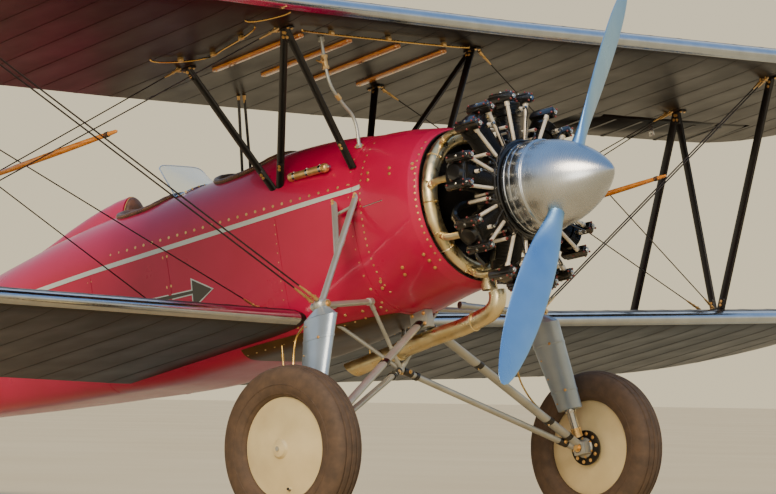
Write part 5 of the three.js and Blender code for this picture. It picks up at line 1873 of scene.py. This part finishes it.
def stuffed(obj, cap):
    """Fills a soft piece like a cushion: a cloth that air blows up, each point held within the cap."""
    even = obj.modifiers.new("even", "REMESH")
    even.mode, even.voxel_size = "VOXEL", 0.006
    bake(obj)
    before = [vert.co.copy() for vert in obj.data.vertices]
    cloth = obj.modifiers.new("fill", "CLOTH")
    cloth.settings.use_pressure = True
    cloth.settings.uniform_pressure_force = 4
    cloth.settings.effector_weights.gravity = 0
    first, last = 1, 20
    cloth.point_cache.frame_start, cloth.point_cache.frame_end = first, last
    for count in range(first, last + 1):
        scene.frame_set(count)
    bake(obj)
    scene.frame_set(first)
    for vert, start in zip(obj.data.vertices, before):
        move = vert.co - start
        if move.length > cap:
            vert.co = start + move.normalized() * cap
    finer = obj.modifiers.new("finer", "SUBSURF")
    finer.levels = finer.render_levels = 1
    bake(obj)
    smooth(obj, 80)


PAD_PULL = 0.035  # share by which a pad's sides pull in between its corners


def pad_frame(low, high):
    """The middle and half size of a pad between two corners, and its axes with the thin one last."""
    low, high = Vector(low), Vector(high)
    size = (high - low) / 2
    thin = min(range(3), key=lambda n: size[n])
    return (low + high) / 2, size, *[n for n in range(3) if n != thin], thin


def pad_shape(low, high):
    """A crowned pad whose sides pull in between its corners."""
    bm = bmesh.new()
    bmesh.ops.create_cube(bm, size=2)
    bmesh.ops.subdivide_edges(bm, edges=bm.edges, cuts=14, use_grid_fill=True)
    middle, size, a, b, thin = pad_frame(low, high)
    for vert in bm.verts:
        p = vert.co.copy()
        edge = max(abs(p[a]), abs(p[b]))
        rim = max(0.0, 1 - (1 - min(1.0, (1 - edge) * 3.2)) ** 2) ** 0.5
        pull = 1 - PAD_PULL * (1 - min(abs(p[a]), abs(p[b])) ** 2)
        for n in (a, b):
            p[n] *= pull
        p[thin] *= 0.34 + 0.66 * rim
        p[thin] *= 1 - 0.10 * max(0, 1 - ((p[a] ** 2 + p[b] ** 2) / 0.1))
        vert.co = Vector([middle[n] + p[n] * size[n] for n in range(3)])
    return bm


def seam_cord(low, high):
    """The corded seam that runs round a pad at half its thickness."""
    middle, size, a, b, _ = pad_frame(low, high)
    points = []
    for c, s in circle(64, 1, pi / 64):
        u, v = signed(c, 0.28), signed(s, 0.28)
        inset = 1 - PAD_PULL * (1 - min(abs(u), abs(v)) ** 2)
        point = middle.copy()
        point[a] += u * inset * (size[a] + 0.5)
        point[b] += v * inset * (size[b] + 0.5)
        points.append(point)
    return points


def dress_seats():
    """A pan of bent sheet with a rolled edge, a cushion and a back pad in each cockpit."""
    for name, (_, rear, _, floor) in zip(("front", "rear"), WELLS):
        x = rear + 44
        bm = bmesh.new()
        block(bm, (x + 2, -158, floor + 2), (x + 312, 158, floor + 26), 6)
        block(bm, (x + 2, -158, floor + 20), (x + 12, 158, floor + 612), 4)
        for s in (1, -1):
            block(bm, (x + 4, s * 150, floor + 20), (x + 120, s * 158, floor + 560), 3)
            block(bm, (x + 4, s * 150, floor + 20), (x + 306, s * 158, floor + 200), 3)
            bar(bm, (x + 10, s * 154, floor + 566), (x + 116, s * 154, floor + 556), 6, sides=12)
        bar(bm, (x + 8, -154, floor + 612), (x + 8, 154, floor + 612), 7, sides=16)
        piece(f"{name}_seat_pan", bm, ALUMINIUM, slot="polished_metal", replaces=[f"{name}_seat"])
        for part, low, high in (("cushion", (x + 22, -144, floor + 34), (x + 308, 144, floor + 182)),
                                ("back_pad", (x + 18, -142, floor + 196), (x + 110, 142, floor + 590))):
            pad = piece(f"{name}_seat_{part}", pad_shape(low, high), LEATHER, slot="brown_leather", angle=80)
            stuffed(pad, 0.008)
            bm = bmesh.new()
            pipe(bm, seam_cord(low, high), 3, 8, closed=True)
            piece(f"{name}_seat_{part}_seam", bm, STITCH, slot="brown_leather")


def dress_headrest():
    """The cushion in front of the fairing behind the rear cockpit, with the seam round its arch."""
    rows = [(-2984.6, 118, 770), (-2974, 122, 774), (-2960, 120, 772), (-2951, 108, 758), (-2947, 84, 728)]
    foot = 480
    bm = bmesh.new()
    loft(bm, [[(x, half * c, foot + (top - foot) * max(s, 0.55)) for c, s in circle(48, 1)]
              for x, half, top in between(rows, 4)])
    pad = piece("headrest_cushion", bm, LEATHER, slot="brown_leather", replaces=["headrest_pad"], angle=80)
    stuffed(pad, 0.006)
    bm = bmesh.new()
    arch = [pi * (0.19 + 0.62 * k / 24) for k in range(25)]
    pipe(bm, [(-2972, 123 * cos(angle), foot + 295 * sin(angle)) for angle in arch], 3, 8)
    piece("headrest_seam", bm, STITCH, slot="brown_leather")


# Across, height and radius on the instrument boards
DIALS = [(-128, 540, 42), (-30, 560, 38), (64, 548, 42), (146, 520, 30), (-150, 440, 30), (-66, 452, 34),
         (24, 462, 34), (108, 440, 30)]


def dress_interiors():
    """In each cockpit a floor, an instrument board with blank dials, a stick and pedal bars."""
    bm = bmesh.new()
    for front, rear, half, floor in WELLS:
        block(bm, (rear + 8, -half + 26, floor + 2), (front - 8, half - 26, floor + 12), 3)
        block(bm, (front - 34, -206, 330), (front - 22, 206, 628), 4)
    mark(bm)
    for front, *_ in WELLS:
        x = front - 34
        for y, z, r in DIALS:
            bar(bm, (x + 2, y, z), (x - 6, y, z), r, sides=40)
            bar(bm, (x - 4, y, z), (x - 8, y, z), r + 3, r - 1, sides=40)
    tint(bm, 1)
    for front, *_ in WELLS:
        x = front - 43
        for y, z, r in DIALS:
            bar(bm, (x + 1, y, z), (x - 0.5, y, z), r - 6, sides=32)
    tint(bm, 2)
    for front, _, _, floor in WELLS:
        x = front - 44
        for k, (y, z, r) in enumerate(DIALS):
            w = 0.6 + 0.9 * k
            bar(bm, (x, y, z), (x, y + (r - 10) * cos(w), z + (r - 10) * sin(w)), 1.6, sides=6)
            ball(bm, (x, y, z), 4, 8)
        stick = ((190, 12), (200, 200), (250, 420), (250, 470))
        pipe(bm, [(front - back, 0, floor + up) for back, up in stick], 13, 12)
        for y in (-1, 1):
            bar(bm, (front - 60, y * 110, floor + 80), (front - 60, y * 30, floor + 80), 12, sides=12)
    tint(bm, 3)
    piece("cockpit_furniture", bm, DARK_COLOUR_AND_PAINTED_SHADE, BLACK, CREAM, STEEL)


def dress_bottle():
    """The bright cylinder on the starboard deck: domed ends, straps and saddles."""
    a, b = Vector((-1020, -398, 454)), Vector((-1330, -398, 466))
    run = (b - a).normalized()
    bm = turning([(0, 0), (2, 15), (8, 23), (18, 27), (34, 27), (35, 23), (278, 23), (279, 26), (292, 26),
                  (302, 22), (308, 14), (310.2, 0)], 36)
    place = Matrix.Translation(a) @ run.to_track_quat("X", "Z").to_matrix().to_4x4()
    bmesh.ops.transform(bm, matrix=place, verts=bm.verts)
    mark(bm)
    for share in (0.17, 0.5, 0.83):
        spot = a.lerp(b, share)
        bar(bm, spot - run * 9, spot + run * 9, 25, sides=32)
        block(bm, (spot.x - 9, -398, spot.z - 12), (spot.x + 9, -340, spot.z - 2), 2)
        bolt(bm, spot + Vector((0, -8, 22)), (0, -0.3, 1), 5)
    bar(bm, a - run * 16, a + run * 2, 10, sides=6)
    tint(bm, 1)
    piece("side_bottle", bm, BRASS, STEEL, slot="heated_steel", replaces=["side_cylinder"])


def dress_stays():
    """Two thin stays from the upper wing down to the deck, with a fitting at the top of each."""
    bm = bmesh.new()
    for x, y, foot_x, foot_y in ((-1975, -10, -2123, 80), (-1958, 22, -2118, 150)):
        top = Vector((x, y, under(UPPER, x, y)))
        foot = Vector((foot_x, foot_y, deck_at(foot_x, foot_y)))
        bar(bm, top.lerp(foot, 0.05), foot, 9, sides=16)
    mark(bm)
    for x, y in ((-1975, -10), (-1958, 22)):
        z = under(UPPER, x, y)
        bar(bm, (x, y, z), (x - 14, y + 9, z - 44), 11, 7, sides=12)
    tint(bm, 1)
    piece("centre_stays", bm, BLACK, BRASS)


def dress_fuel_line():
    """The pipe from the upper wing to the deck, with its cock, unions and flange."""
    x, y = -892, -435
    top = under(UPPER, x, y - 1)
    foot = Vector((-888, -250, deck_at(-888, -250)))
    bm = bmesh.new()
    pipe(bm, [(x, y - 1, top + 6), (x, y, 1120), (x, y + 1, 1060), (x - 2, -410, 900), (x - 2, -330, 800),
              (x + 2, -262, 720), foot - Vector((0, 0, 4))], 10, 16)
    bar(bm, (x, y - 1, top - 22), (x, y - 1, top + 2), 19, sides=24)
    bar(bm, foot - Vector((0, 0, 6)), foot + Vector((0, -2, 16)), 19, sides=24)
    mark(bm)
    bar(bm, (x, y, 1078), (x, y, 1000), 17, sides=24)
    for z in (1072, 1006):
        bar(bm, (x, y, z - 8), (x, y, z + 8), 21, sides=6)
    bar(bm, (x, y, 1039), (x, -470, 1039), 9, sides=16)
    for way in (-1, 1):
        bar(bm, (x, -472, 1039), (x + way * 26, -476, 1055), 6, 4, sides=12)
    bar(bm, (x - 2, -376, 852), (x - 2, -352, 824), 15, sides=6)
    for out in circle(6, 26):
        bolt(bm, foot + Vector((*out, 2)), (0, -0.3, 1), 4)
    tint(bm, 1)
    piece("fuel_line", bm, SILVER, BRASS, slot="silver_steel", replaces=["fuel_pipe"])


def dress_wing_pipes():
    """Thin pipes under the centre section, held by small blocks. A point has x, y and its drop."""
    def level(x, y, drop):
        return (x, y, under(UPPER, x, y) - drop)

    bm = bmesh.new()
    for r, points in ((6, [(-777, -720, 8), (-776, -716, 16), (-744, 700, 16), (-743, 704, 8)]),
                      (5, [(-1521, -1206, 2), (-1515, -1196, 14), (-1375, -905, 14), (-1200, -930, 14),
                           (-840, -1048, 14), (-831, -1050, 2)]),
                      (5, [(-763, -1201, 2), (-752, -1190, 12), (-600, -1062, 10), (-560, -1040, 2)])):
        pipe(bm, [level(*point) for point in points], r, 10)
    mark(bm)
    for x, y in ((-770, -480), (-760, 0), (-750, 480), (-1300, -915), (-1000, -990), (-1440, -1040)):
        z = under(UPPER, x, y)
        block(bm, (x - 12, y - 14, z - 24), (x + 12, y + 14, z + 1), 3)
    tint(bm, 1)
    piece("wing_pipes", bm, GOLD, BRASS, slot="heated_steel")


STITCH = finish("waxed linen thread", "#a98a5c", 0.8)[0]
# The edge binding's pale blue is a painted reflection of the sky.
EDGE = painted("edge binding, pale blue as painted sky reflection", "#a8bcd6", "#9fb4cf", 0.3, 0.4, grain=0.1)
dress_rims()
dress_screen()
dress_seats()
dress_headrest()
dress_interiors()
dress_bottle()
dress_stays()
dress_fuel_line()
dress_wing_pipes()
